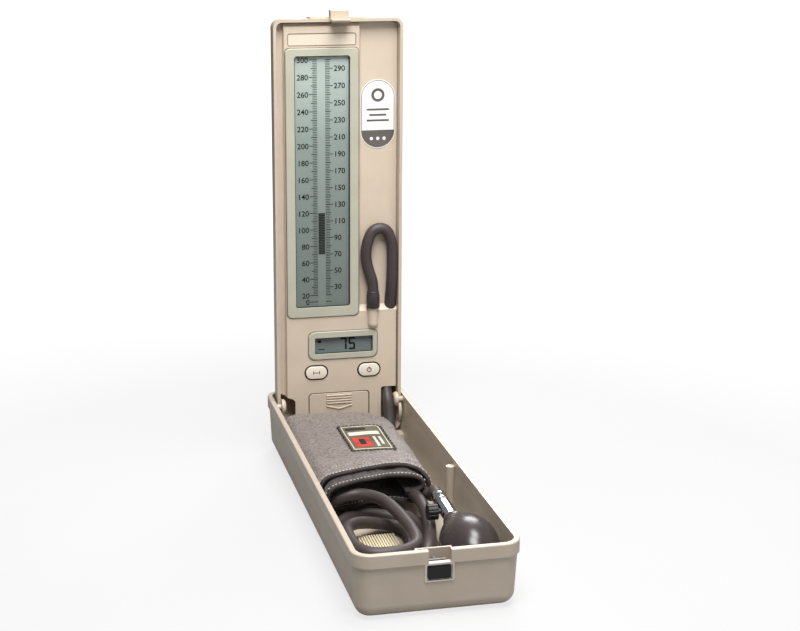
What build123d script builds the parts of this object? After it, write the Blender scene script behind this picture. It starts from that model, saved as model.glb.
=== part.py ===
from build123d import *
import os
from math import pi, radians, tan

# A desk sphygmomanometer without mercury: a long open case, and a lid that stands up at its rear end.
# Millimetres. X is the width, with +X on the right, Y runs from the latch to the hinge, Z is up.
# The origin is on the table, under the middle of the case. The lid is drawn open, as it stands in use.

os.makedirs("parts", exist_ok=True)

# Clearances
fit = 0.05
clear = 0.3

# Case
case_width = 110.0
case_length = 340.0
rim_z = 45.0
foot_height = 1.0
foot_radius = 5.0
foot_seat = 0.6
foot_inset = (21.0, 24.0)
collar_height = 8.8
collar_wall = 3.7
collar_step = 1.3
case_wall = 2.4
floor_thickness = 2.6
case_draft = 3.0
case_corner = 13.0
case_bottom_round = 8.5
floor_round = 5.0
rim_round = 0.9

# Posts and ribs on the case walls, which carry the closed lid and the ears of the open one
post_radius = 3.2
post_top = 40.7
corner_post_inset = 8.2
rib_inset = 6.6
rib_y = -16.0
ear_post_inset = 8.8
ear_post_length = 12.0

# Lid
hinge_z = 41.0
lid_depth = 26.0
lid_wall = 2.4
lid_side_gap = 1.4
lid_rear_gap = 0.3
lid_end_gap = 3.9
lid_draft = 3.5
lid_corner = 6.5
lid_back_round = 6.6
lid_end_round = 7.4
core_share = 0.7
ear_reach = 4.5
ear_top = 39.0
ear_low = 22.6
lid_pad_half = 21.0
lid_pad_height = 1.0
lid_pad_depth = (2.0, 21.0)
lid_pad_root = 1.5

# Hinge pins
pin_radius = 2.2
pin_head_radius = 6.0
pin_head_length = 3.4
pin_head_seat = 0.5
pin_depth = 2.6

# Latch; the hook's outline is its distance from the near wall and its height, on the closed lid
notch_half = 7.4
notch_z = 36.6
frame_z = 29.8
frame_size = (19.6, 12.6)
frame_corner = 1.2
frame_seat = 0.8
frame_proud = 1.0
latch_tube_size = (17.4, 11.0)
latch_tube_proud = 0.5
latch_tube_corner = 1.0
window_width = 16.6
window_height = 10.2
button_z = 29.8
latch_button_size = (15.0, 8.6)
latch_flange = 0.9
pocket_width = 24.0
pocket_depth = 15.0
pocket_low = 22.0
pocket_top = 39.5
pocket_wall = 1.4
catch_thickness = 1.2
catch_low = 28.4
catch_half = 6.0
hook_gap = 0.4
catch_riser = 7.1
catch_lip = 5.6
lip_z = 33.8
spring_wire = 0.6
spring_radius = 2.0
spring_turns = 4
spring_z = 32.0
hook_outline = [
    (5.3, 42.5), (5.3, 33.5), (6.4, 33.5), (6.4, 32.6), (4.7, 30.8),
    (3.8, 30.8), (3.8, 37.3), (-2.5, 37.3), (-2.5, 45.0), (5.3, 45.0),
]

# Instrument panel, as X and height on the open lid
panel_recess = 2.5
column_recess = 7.0
panel_wall = 2.0
panel_left_gap = 5.7
raised_width = 58.5
panel_gap = 0.8
panel_low = 22.0
panel_top_gap = 3.6
panel_chamfer = 3.0
panel_round = 1.0
base_top_gap = 3.3
ledge_z = 115.2
ledge_rise = 4.0
pin_notch = [(-50, 49.3), (-45.2, 49.3), (-42.1, 47.4), (-36.9, 45.6), (-35.2, 43.5), (-35.2, 20), (-50, 20)]
hose_notch_x = 34.2
hose_notch_z = 51.5
hose_notch_size = (60.0, 80.0)
serial_below_top = 11.9
serial_size = (51.6, 8.4)
serial_depth = 0.6
badge_below_top = 73.4
badge_size = (27.4, 53.0)
badge_thickness = 0.3

# Screws from the back of the lid into the panel, and the bosses that they join
screw_inset = 4.1
high_screw_below_top = 18.4
low_screws = [(-36.5, 54.2), (29.5, 54.8)]
side_screws = (100.0, 215.0)
boss_y = 155.0
boss_radius = 3.2
panel_boss_radius = 3.0
screw_radius = 1.25
screw_length = 14.0
screw_head_radius = 2.6
screw_head_height = 1.3
screw_seat = 0.9

# Displays
bezel_low = 112.2
bezel_below_top = 18.4
bezel_width = 56.4
bezel_corner = 4.0
bezel_proud = 1.0
bezel_seat = 1.0
window_width_lcd = 43.0
window_margins = (7.7, 5.7)
lens_thickness = 1.0
glass_thickness = 2.8
pulse_centre = (3.2, 88.5)
pulse_size = (55.1, 22.6)
pulse_corner = 6.0
pulse_window_centre = (3.9, 88.3)
pulse_window_size = (46.6, 13.4)

# Buttons
button_size = (17.6, 10.8)
marker_centre = (-18.3, 66.7)
power_centre = (24.2, 66.7)
key_proud = 1.2
key_travel = 0.9
key_gap = 0.1
key_flange = 1.2
key_stem_radius = 2.0
dome_radius = 3.2
dome_height = 1.1

# Battery compartment
cover_width = 49.4
cover_top = 49.5
cover_end = 22.3
cover_thickness = 1.6
cover_corner = 2.9
cover_rib_proud = 0.8
cover_rib_half = 10.3
cover_rib_top = 47.2
cover_rib_pitch = 2.1
cover_rib_height = 1.0
chevron_depth = 2.8
tongue = 1.2
tongue_depth = 0.8
cell_radius = 5.2
cell_length = 43.5
cell_pitch = 11.2
cell_low = 31.7
cell_y = 151.5
tray_low = 25.2
tray_top = 49.4
tray_back = 158.0
tray_chamfer = 3.5
tray_wall = 1.2
tray_half = 23.8
contact_thickness = 0.5
contact_half = 3.7

# Circuit board, its chips as X, Z, width and height, and what stands on it
board_y = 150.5
board_thickness = 1.6
board_left = -38.5
board_right = 13.5
board_right_low = 34.3
board_low = 59.0
board_low_top = 111.5
board_step = 104.0
board_below_top = 8.8
chips = [(-12.0, 140.0, 12.0, 12.0), (-14.0, 200.0, 7.0, 10.0), (2.0, 88.0, 9.0, 9.0), (22.0, 78.0, 6.0, 4.0)]
chip_height = 1.6
board_screws_low = [(-34.0, 108.0), (8.0, 108.0), (-34.0, 62.5), (4.0, 62.5)]
board_screws_high = (-30.0, 5.0)
board_screw_inset = 4.0
board_boss_radius = 2.4
board_screw_radius = 0.85
board_screw_head = 1.8
sensor_z = 106.0
sensor_front = 146.6
sensor_width = 9.0
sensor_port_radius = 1.5
buzzer_at = (-24.0, 82.0)
buzzer_radius = 6.5
buzzer_height = 4.5

# Nipple and sleeve on the ledge
nipple_x = 27.2
nipple_radius = 2.6
nipple_boss_y = 142.0
nipple_boss_radius = 3.9
nipple_boss_top = 116.7
boss_low = 104.9
barb_radius = 2.3
barb_length = 11.0
sleeve_radius = 5.2
sleeve_length = 13.6
sleeve_back_gap = 0.2

# Hoses
hose_radius = 4.3
bend_share = 0.45
hose_end_gap = 0.3
way_gap = 0.4

# Bulb and valve; outlines are the distance from the axis and the distance along it
bulb_centre = (31.1, -124.0, 28.0)
bulb_heading = (-1.3, 66.0, 5.0)
bulb_outline = [(4.6, -30.5), (14.2, -22.5), (19.4, -5.0), (15.2, 14.0), (7.6, 28.0)]
bulb_hollow = [(2.2, -27.9), (11.9, -20.6), (16.9, -5.0), (12.9, 12.6), (3.4, 27.0)]
bulb_port = 3.4
inlet_bore = 2.2
neck_radius = 7.0
neck_end = 33.3
coupler_length = 11.6
screw_place = 48.3
screw_bore = 1.8
knob_gap = 7.2
knob_radius = 5.6
knob_length = 7.0
knob_flutes = 12

# Cuff, folded; sections are X and Z, the plan is X and Y
cuff_ends = (-40.0, 120.0)
cuff_section = [
    (-48.6, 27.0), (-48.6, 35.5), (-42.5, 41.8), (12.0, 41.8), (17.5, 38.9), (27.0, 36.9), (33.0, 32.5),
    (33.8, 25.6), (23.0, 29.0), (18.0, 31.0), (-38.0, 31.0), (-44.0, 27.0),
]
fold_front = 9.8
fold_section = [(16.0, 13.1), (34.0, 13.1), (33.8, 27.0), (23.0, 30.5), (16.0, 32.0)]
leg_front = 14.0
leg_section = [(-48.6, 9.3), (-44.0, 9.3), (-44.0, 28.0), (-48.6, 28.0)]
cuff_plan = [(-48.7, -36.0), (20.0, -12.0), (34.1, -16.0), (34.1, 100.0), (-46.0, 118.0), (-48.7, 116.0)]
label_ends = (18.0, 74.0)
label_section = [
    (-15.6, 41.84), (12.01, 41.84), (17.1, 39.16), (17.29, 39.51), (12.11, 42.24), (-15.6, 42.24),
]

# Ribbed pad on the floor
pad_corner_low = (-27.0, -72.0)
pad_corner_high = (-0.4, -48.0)
pad_base = 2.8
pad_rib = 1.4
pad_rib_count = 15

# Places that follow from the sizes above
collar_z = rim_z - collar_height
floor_z = foot_height + floor_thickness
collar_inner_half = case_width / 2 - collar_wall
body_half = case_width / 2 - collar_step
end_inner = case_length / 2 - collar_wall
end_body = case_length / 2 - collar_step
corner_post = (case_width / 2 - corner_post_inset, corner_post_inset - case_length / 2)
rib_place = (case_width / 2 - rib_inset, rib_y)
foot_half = (case_width / 2 - foot_inset[0], case_length / 2 - foot_inset[1])
foot_places = [(x, y) for x in (-foot_half[0], foot_half[0]) for y in (-foot_half[1], foot_half[1])]
hinge_y = end_inner - lid_rear_gap - lid_depth
lid_half = collar_inner_half - lid_side_gap
lid_inner_half = lid_half - lid_wall
lid_low = hinge_z - lid_depth
lid_top = hinge_y + hinge_z + end_inner - lid_end_gap
ear_post_x = case_width / 2 - ear_post_inset
ear_post_y = hinge_y - ear_post_length
pin_head_x = lid_inner_half - pin_head_seat
riser_y = catch_riser - end_inner
lip_y = catch_lip - end_inner
panel_left = panel_left_gap - lid_inner_half
panel_right = panel_left + raised_width
panel_half = lid_inner_half - panel_gap
panel_top = lid_top - panel_top_gap
base_top = lid_top - base_top_gap
panel_y = hinge_y + panel_recess
column_y = hinge_y + column_recess
panel_back = column_y + panel_wall
cavity_front = panel_y + panel_wall
lid_back_inner = hinge_y + lid_depth - lid_wall
bezel_back = panel_y + bezel_seat
panel_middle = (panel_left + panel_right) / 2
bezel_top = panel_top - bezel_below_top
bezel_centre = (panel_middle, (bezel_low + bezel_top) / 2)
bezel_size = (bezel_width, bezel_top - bezel_low)
window_low = bezel_low + window_margins[0]
window_top = bezel_top - window_margins[1]
window_centre = (panel_middle, (window_low + window_top) / 2)
window_size = (window_width_lcd, window_top - window_low)
serial_centre = (panel_middle, panel_top - serial_below_top)
badge_centre = ((panel_right + panel_half) / 2, lid_top - badge_below_top)
board_top = panel_top - board_below_top
board_screws_at = board_screws_low + [(x, board_top - board_screw_inset) for x in board_screws_high]
screw_x = lid_inner_half - screw_inset
high_screws = [(x, lid_top - high_screw_below_top) for x in (-screw_x, screw_x)]
panel_screws_at = low_screws + high_screws + [(-screw_x, side_screws[0]), (screw_x, side_screws[1])]
lcd_front = bezel_back + lens_thickness + 0.1
cover_seat = panel_y + cover_thickness + 0.1
cover_back = cover_seat + panel_wall
tongue_front = panel_y + cover_thickness - tongue_depth
dome_y = board_y - dome_height
board_back = board_y + board_thickness
nipple_y = column_y - sleeve_back_gap - sleeve_radius
lid_hose_y = column_y - clear - hose_radius

# Courses of the hoses: the corners of their straight runs
lid_route = [
    (nipple_x, nipple_y, nipple_boss_top + 1.0 + sleeve_length),
    (nipple_x, nipple_y, 138.5),
    (23.6, lid_hose_y - 0.3, 148.0),
    (21.2, lid_hose_y, 159.5),
    (22.6, lid_hose_y, 171.0),
    (27.5, lid_hose_y, 181.0),
    (37.8, lid_hose_y, 181.0),
    (42.4, lid_hose_y, 170.5),
    (42.7, lid_hose_y, 155.0),
    (42.5, lid_hose_y + 0.3, 139.0),
    (42.3, 146.2, 121.0),
    (42.2, 150.2, 104.0),
    (41.6, 151.5, 84.0),
    (40.2, 151.2, 64.0),
    (39.3, hinge_y + 8.8, hinge_z + 8.8),
    (39.3, hinge_y, hinge_z),
]
case_route = [
    (39.4, 138.4, 36.6), (39.6, 134.5, 24.0), (39.0, 124.0, 12.5), (34.0, 108.0, 8.1), (21.0, 84.0, 8.1),
    (0.0, 62.0, 8.1), (-20.0, 36.0, 8.1), (-36.0, 10.0, 9.5), (-43.0, -6.5, 15.0), (-39.0, -17.6, 21.5),
    (-27.5, -17.4, 25.5), (-16.0, -20.0, 26.3), (-5.0, -33.0, 26.6), (-0.5, -56.0, 26.7), (1.8, -83.0, 26.7),
    (1.5, -110.0, 26.7), (-6.0, -123.0, 26.7), (-22.0, -127.0, 26.7), (-36.0, -124.0, 26.7),
    (-42.0, -110.0, 26.7), (-41.0, -84.0, 24.5), (-37.5, -63.5, 20.5), (-28.0, -50.0, 17.6),
    (-15.0, -42.0, 13.5), (0.0, -38.5, 9.0), (8.2, -47.0, 8.1), (8.6, -66.0, 8.1), (-1.0, -88.0, 8.1),
    (-12.0, -110.0, 8.1), (-12.5, -130.0, 8.1), (-4.0, -142.5, 8.1), (8.5, -142.5, 8.1), (16.5, -131.0, 8.1),
    (18.2, -113.0, 8.1), (18.5, -92.0, 8.1), (21.0, -66.0, 8.1), (21.5, -42.0, 8.1), (15.0, -26.0, 8.1),
    (3.1, -21.0, 8.1), (-10.0, -12.3, 8.1), (-24.0, -14.0, 8.1), (-36.0, -27.0, 8.1), (-43.5, -48.0, 8.1),
    (-44.8, -78.0, 8.1), (-44.2, -112.0, 8.1), (-42.5, -140.0, 8.3), (-34.0, -154.0, 11.0),
    (-21.0, -156.5, 13.5), (-9.0, -146.0, 17.4), (2.0, -124.0, 17.4), (12.0, -98.0, 17.4),
    (19.5, -72.0, 17.4), (24.0, -46.0, 17.6), (24.6, -24.0, 19.6), (22.4, -8.0, 20.0),
    (21.8, fold_front - hose_end_gap, 20.0),
]


def facing(y):
    """A sketch plane that faces the reader of the open lid: X to the right, Z up."""
    return Plane(origin=(0, y, 0), x_dir=(1, 0, 0), z_dir=(0, -1, 0))


def draft(height):
    return height * tan(radians(case_draft))


def opened(y, z):
    """Where a point of the closed lid, given by its Y and Z, lies on the open one."""
    return (hinge_y + z - hinge_z, hinge_z - y + hinge_y)


def across(points, half, mode=Mode.ADD):
    """A prism with its outline given as Y and Z, centred on the middle of the case."""
    with BuildSketch(Plane.YZ.offset(-half)) as outline:
        Polygon(*points, align=None)
    extrude(outline.sketch, amount=2 * half, mode=mode)


def block(low, high, mode=Mode.ADD):
    with Locations(tuple((a + b) / 2 for a, b in zip(low, high))):
        Box(*[b - a for a, b in zip(low, high)], mode=mode)


def slab(centre, size, corner, front, back, mode=Mode.ADD):
    """A plate with round corners that faces the reader, from its front Y to its back Y."""
    with BuildSketch(facing(front)) as outline:
        with Locations(centre):
            RectangleRounded(*size, corner)
    extrude(outline.sketch, amount=front - back, mode=mode)


def rod(start, along, radius, length, mode=Mode.ADD):
    with BuildSketch(Plane(origin=start, z_dir=along)) as disc:
        Circle(radius)
    extrude(disc.sketch, amount=length, mode=mode)


def grown(size, margin):
    return (size[0] + 2 * margin, size[1] + 2 * margin)


def tub(inset, low, bottom_round):
    """The drafted form of the case below its collar, drawn in from the outside by inset."""
    with BuildPart() as form:
        for z in (collar_z, low):
            shrink = inset + draft(collar_z - z)
            with BuildSketch(Plane.XY.offset(z)):
                RectangleRounded(
                    2 * (body_half - shrink), 2 * (end_body - shrink), case_corner - collar_step - shrink
                )
        loft()
        fillet(form.edges().group_by(Axis.Z)[0], bottom_round)
    return form.part


def lid_room(inset):
    """The room that the lid's lower end may fill as it turns about the hinge, with two round corners."""
    reach = lid_depth - inset
    half = lid_half - inset
    core = core_share * (lid_depth - lid_end_round)
    with BuildPart() as room:
        with BuildSketch(Plane(origin=(0, hinge_y, hinge_z), x_dir=(1, 0, 0), z_dir=(0, 1, 0))) as end:
            with Locations((0, reach / 2)):
                Rectangle(2 * half, reach)
            fillet(end.vertices().group_by(Axis.Z)[0], lid_end_round - inset)
        revolve(axis=Axis((0, hinge_y, hinge_z), (1, 0, 0)), revolution_arc=90)
        block((-half, hinge_y, hinge_z - core), (half, hinge_y + core, hinge_z + core))
        block((-lid_half, hinge_y, hinge_z), (lid_half, hinge_y + lid_depth, lid_top + 1))
    return room.part


def lid_form(inset):
    """The body of the open lid with its curved lower end, drawn in by inset."""
    reach = lid_depth - inset
    room = lid_room(inset)
    with BuildPart() as form:
        for y in (hinge_y, hinge_y + reach):
            lean = (y - hinge_y) * tan(radians(lid_draft))
            half = lid_half - inset - lean
            top = lid_top - inset - lean
            with BuildSketch(facing(y)) as outline:
                with Locations((0, (top + hinge_z - reach) / 2)):
                    Rectangle(2 * half, top - hinge_z + reach)
                fillet(outline.vertices().group_by(Axis.Y)[-1], lid_corner - inset)
        loft()
        back = form.edges().filter_by_position(Axis.Y, hinge_y + reach - 0.01, hinge_y + reach + 0.01)
        fillet(back.sort_by(Axis.Z)[1:], lid_back_round - inset)
        with BuildSketch(Plane.YZ.offset(-case_width / 2)):
            with BuildLine():
                CenterArc((hinge_y, hinge_z), reach, -90, 90)
                Polyline(
                    (hinge_y + reach, hinge_z),
                    (hinge_y + reach, lid_top + 1),
                    (hinge_y, lid_top + 1),
                    (hinge_y, hinge_z - reach),
                )
            make_face()
        extrude(amount=case_width, mode=Mode.INTERSECT)
        add(room, mode=Mode.INTERSECT)
    return form.part


def hose(points, radius, name):
    """A round hose of straight runs joined by tangent arcs."""
    steps = [Vector(b) - Vector(a) for a, b in zip(points, points[1:])]
    bends = []
    for before, after in zip(steps, steps[1:]):
        reach = bend_share * min(before.length, after.length)
        bends.append(reach / tan(radians(before.get_angle(after)) / 2))
    with BuildPart() as tube:
        with BuildLine() as route:
            FilletPolyline(*points, radius=bends)
        with BuildSketch(Plane(origin=points[0], z_dir=steps[0])):
            Circle(radius)
        sweep(path=route.line)
    length = sum(edge.length for edge in route.edges())
    print(name, "bend radii", [round(r, 1) for r in bends])
    print(name, "length", round(length, 1), "volume", round(tube.part.volume))
    print(name, "section x length", round(pi * radius**2 * length))
    return tube.part


# Case shell: a drafted tub with a thicker collar round its rim
posts_trim = tub(case_wall / 2, floor_z - 1.0, floor_round)
with BuildPart() as posts:
    for x in (-corner_post[0], corner_post[0]):
        with Locations((x, corner_post[1], post_top / 2)):
            Cylinder(post_radius, post_top)
    with Locations((rib_place[0], rib_place[1], post_top / 2)):
        Cylinder(post_radius, post_top)
    for side in (-1, 1):
        block(
            (min(side * ear_post_x, side * body_half), ear_post_y, 0),
            (max(side * ear_post_x, side * body_half), hinge_y, lid_low - clear),
        )
    add(posts_trim, mode=Mode.INTERSECT)
    for x in (-corner_post[0], corner_post[0]):
        with Locations((x, corner_post[1], (post_top + collar_z) / 2)):
            Cylinder(post_radius, post_top - collar_z)
    with Locations((rib_place[0], rib_place[1], (post_top + collar_z) / 2)):
        Cylinder(post_radius, post_top - collar_z)

case_outside = tub(0, foot_height, case_bottom_round)
case_inside = tub(case_wall, floor_z, floor_round)
wall_inside_y = -end_inner + draft(collar_z - button_z)
frame_seat_y = -end_body + frame_seat
with BuildPart() as case_shell:
    add(case_outside)
    with BuildSketch(Plane.XY.offset(collar_z)):
        RectangleRounded(case_width, case_length, case_corner)
    extrude(amount=collar_height)
    fillet(case_shell.faces().sort_by(Axis.Z)[-1].edges(), rim_round)
    add(case_inside, mode=Mode.SUBTRACT)
    with BuildSketch(Plane.XY.offset(collar_z)):
        RectangleRounded(2 * collar_inner_half, 2 * end_inner, case_corner - collar_wall)
    extrude(amount=collar_height, mode=Mode.SUBTRACT)
    add(posts.part)
    block(
        (-pocket_width / 2, -end_inner, pocket_low),
        (pocket_width / 2, -end_inner + pocket_depth, pocket_top),
    )
    block(
        (-pocket_width / 2 + pocket_wall, wall_inside_y, pocket_low + pocket_wall),
        (pocket_width / 2 - pocket_wall, -end_inner + pocket_depth - pocket_wall, rim_z),
        mode=Mode.SUBTRACT,
    )
    block((-notch_half, -case_length / 2, notch_z), (notch_half, -end_inner + 1, rim_z), mode=Mode.SUBTRACT)
    slab(
        (0, frame_z), grown(frame_size, fit), frame_corner, -case_length / 2, frame_seat_y, mode=Mode.SUBTRACT
    )
    slab(
        (0, button_z), grown(latch_tube_size, fit), latch_tube_corner,
        -case_length / 2, -end_inner + 2, mode=Mode.SUBTRACT,
    )
    for side in (-1, 1):
        pin_start = (side * (collar_inner_half + pin_depth), hinge_y, hinge_z)
        rod(pin_start, (-side, 0, 0), pin_radius + fit, pin_depth + 1, Mode.SUBTRACT)
    for x, y in foot_places:
        with Locations((x, y, foot_height + foot_seat / 2)):
            Cylinder(foot_radius + fit, foot_seat, mode=Mode.SUBTRACT)

with BuildPart() as rubber_feet:
    for x, y in foot_places:
        with Locations((x, y, (foot_height + foot_seat) / 2)):
            Cylinder(foot_radius, foot_height + foot_seat)
    fillet(rubber_feet.edges().group_by(Axis.Z)[0], 0.4)

with BuildPart() as ribbed_pad:
    block((*pad_corner_low, floor_z), (*pad_corner_high, floor_z + pad_base))
    pad_pitch = (pad_corner_high[0] - pad_corner_low[0]) / pad_rib_count
    for rib in range(pad_rib_count):
        rib_x = pad_corner_low[0] + (rib + 0.5) * pad_pitch
        rod(
            (rib_x, pad_corner_low[1], floor_z + pad_base), (0, 1, 0), pad_rib / 2,
            pad_corner_high[1] - pad_corner_low[1],
        )

# Hinge pins: a domed head inside each ear, and a shaft through it into the collar
with BuildPart() as hinge_pins:
    for side in (-1, 1):
        shaft_end = collar_inner_half + pin_depth - 0.1
        rod((side * pin_head_x, hinge_y, hinge_z), (side, 0, 0), pin_radius, shaft_end - pin_head_x)
        rod((side * pin_head_x, hinge_y, hinge_z), (-side, 0, 0), pin_head_radius, pin_head_length)
        head_tip = side * (pin_head_x - pin_head_length)
        fillet(hinge_pins.edges().filter_by_position(Axis.X, head_tip - 0.01, head_tip + 0.01), 2.4)

# Latch: a flanged frame in the near wall, the button, the catch that it pushes and its spring
with BuildPart() as latch_frame:
    slab((0, frame_z), frame_size, frame_corner, frame_seat_y - frame_proud, frame_seat_y)
    fillet(latch_frame.faces().sort_by(Axis.Y)[0].edges(), 0.5)
    slab((0, button_z), latch_tube_size, latch_tube_corner, frame_seat_y, wall_inside_y + latch_tube_proud)
    slab(
        (0, button_z), (window_width, window_height), 0.9,
        frame_seat_y - frame_proud, frame_seat_y + 0.6, mode=Mode.SUBTRACT,
    )
    slab(
        (0, button_z), grown(latch_button_size, 2 * fit), 0.8,
        frame_seat_y, wall_inside_y + latch_tube_proud, mode=Mode.SUBTRACT,
    )

button_back_y = wall_inside_y + latch_tube_proud + 2 * fit
with BuildPart() as latch_button:
    slab((0, button_z), latch_button_size, 0.8, frame_seat_y - frame_proud - 0.3, button_back_y)
    fillet(latch_button.faces().sort_by(Axis.Y)[0].edges(), 0.4)
    slab((0, button_z), grown(latch_button_size, 1.4), 0.8, button_back_y, button_back_y + latch_flange)

catch_front_y = button_back_y + latch_flange
with BuildPart() as latch_catch:
    across(
        [
            (catch_front_y, catch_low),
            (riser_y + catch_thickness, catch_low),
            (riser_y + catch_thickness, lip_z + catch_thickness),
            (lip_y, lip_z + catch_thickness),
            (lip_y, lip_z),
            (riser_y, lip_z),
            (riser_y, catch_low + catch_thickness),
            (catch_front_y, catch_low + catch_thickness),
        ],
        catch_half,
    )

spring_front_y = riser_y + catch_thickness
spring_length = -end_inner + pocket_depth - pocket_wall - spring_front_y
with BuildPart() as latch_spring:
    with BuildLine() as coil:
        Helix(
            pitch=(spring_length - spring_wire) / spring_turns,
            height=spring_length - spring_wire,
            radius=spring_radius,
            center=(0, spring_front_y + spring_wire / 2, spring_z),
            direction=(0, 1, 0),
        )
    with BuildSketch(Plane(origin=coil.line @ 0, z_dir=coil.line % 0)):
        Circle(spring_wire / 2)
    sweep(path=coil.line, is_frenet=True)

# Lid shell: a deep tray with a round lower end, ears at the hinge and the hook at its top end
lid_outside = lid_form(0)
lid_inside = lid_form(lid_wall)
with BuildPart() as lid_shell:
    add(lid_outside)
    add(lid_inside, mode=Mode.SUBTRACT)
    for start in (-lid_half, lid_inner_half):
        with BuildSketch(Plane.YZ.offset(start)):
            with BuildLine():
                ThreePointArc(
                    (hinge_y, ear_top), (hinge_y - ear_reach, (ear_top + ear_low) / 2), (hinge_y, ear_low)
                )
                Line((hinge_y, ear_low), (hinge_y, ear_top))
            make_face()
        extrude(amount=lid_wall)
    across([opened(y - end_inner, z) for y, z in hook_outline], notch_half - hook_gap)
    pad_lean = tan(radians(lid_draft))
    across(
        [
            (hinge_y + lid_pad_depth[0], lid_top - lid_pad_root),
            (hinge_y + lid_pad_depth[0], lid_top + lid_pad_height),
            (hinge_y + lid_pad_depth[1], lid_top + lid_pad_height - lid_pad_depth[1] * pad_lean),
            (hinge_y + lid_pad_depth[1], lid_top - lid_pad_root - lid_pad_depth[1] * pad_lean),
        ],
        lid_pad_half,
    )
    for x, z in panel_screws_at:
        rod((x, boss_y, z), (0, 1, 0), boss_radius, lid_back_inner - boss_y + 0.4)
        rod((x, boss_y, z), (0, 1, 0), screw_radius + 0.1, lid_depth, Mode.SUBTRACT)
        rod((x, lid_back_inner + screw_seat, z), (0, 1, 0), screw_head_radius + 0.1, lid_depth, Mode.SUBTRACT)
    rod((-lid_half - 1, hinge_y, hinge_z), (1, 0, 0), pin_radius + fit, lid_wall + 2, Mode.SUBTRACT)
    rod((lid_half + 1, hinge_y, hinge_z), (-1, 0, 0), pin_radius + fit, lid_wall + 2, Mode.SUBTRACT)

with BuildPart() as panel_screws:
    for x, z in panel_screws_at:
        rod((x, lid_back_inner + screw_seat, z), (0, 1, 0), screw_head_radius, screw_head_height)
        rod((x, lid_back_inner + screw_seat, z), (0, -1, 0), screw_radius, screw_length)

# Hose of the lid, from the nipple on the ledge up, round and down behind the panel to the hinge
lid_hose_part = hose(lid_route, hose_radius, "lid_hose")

hose_way_part = hose(lid_route[-8:], hose_radius + way_gap, "way of the lid hose")

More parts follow.
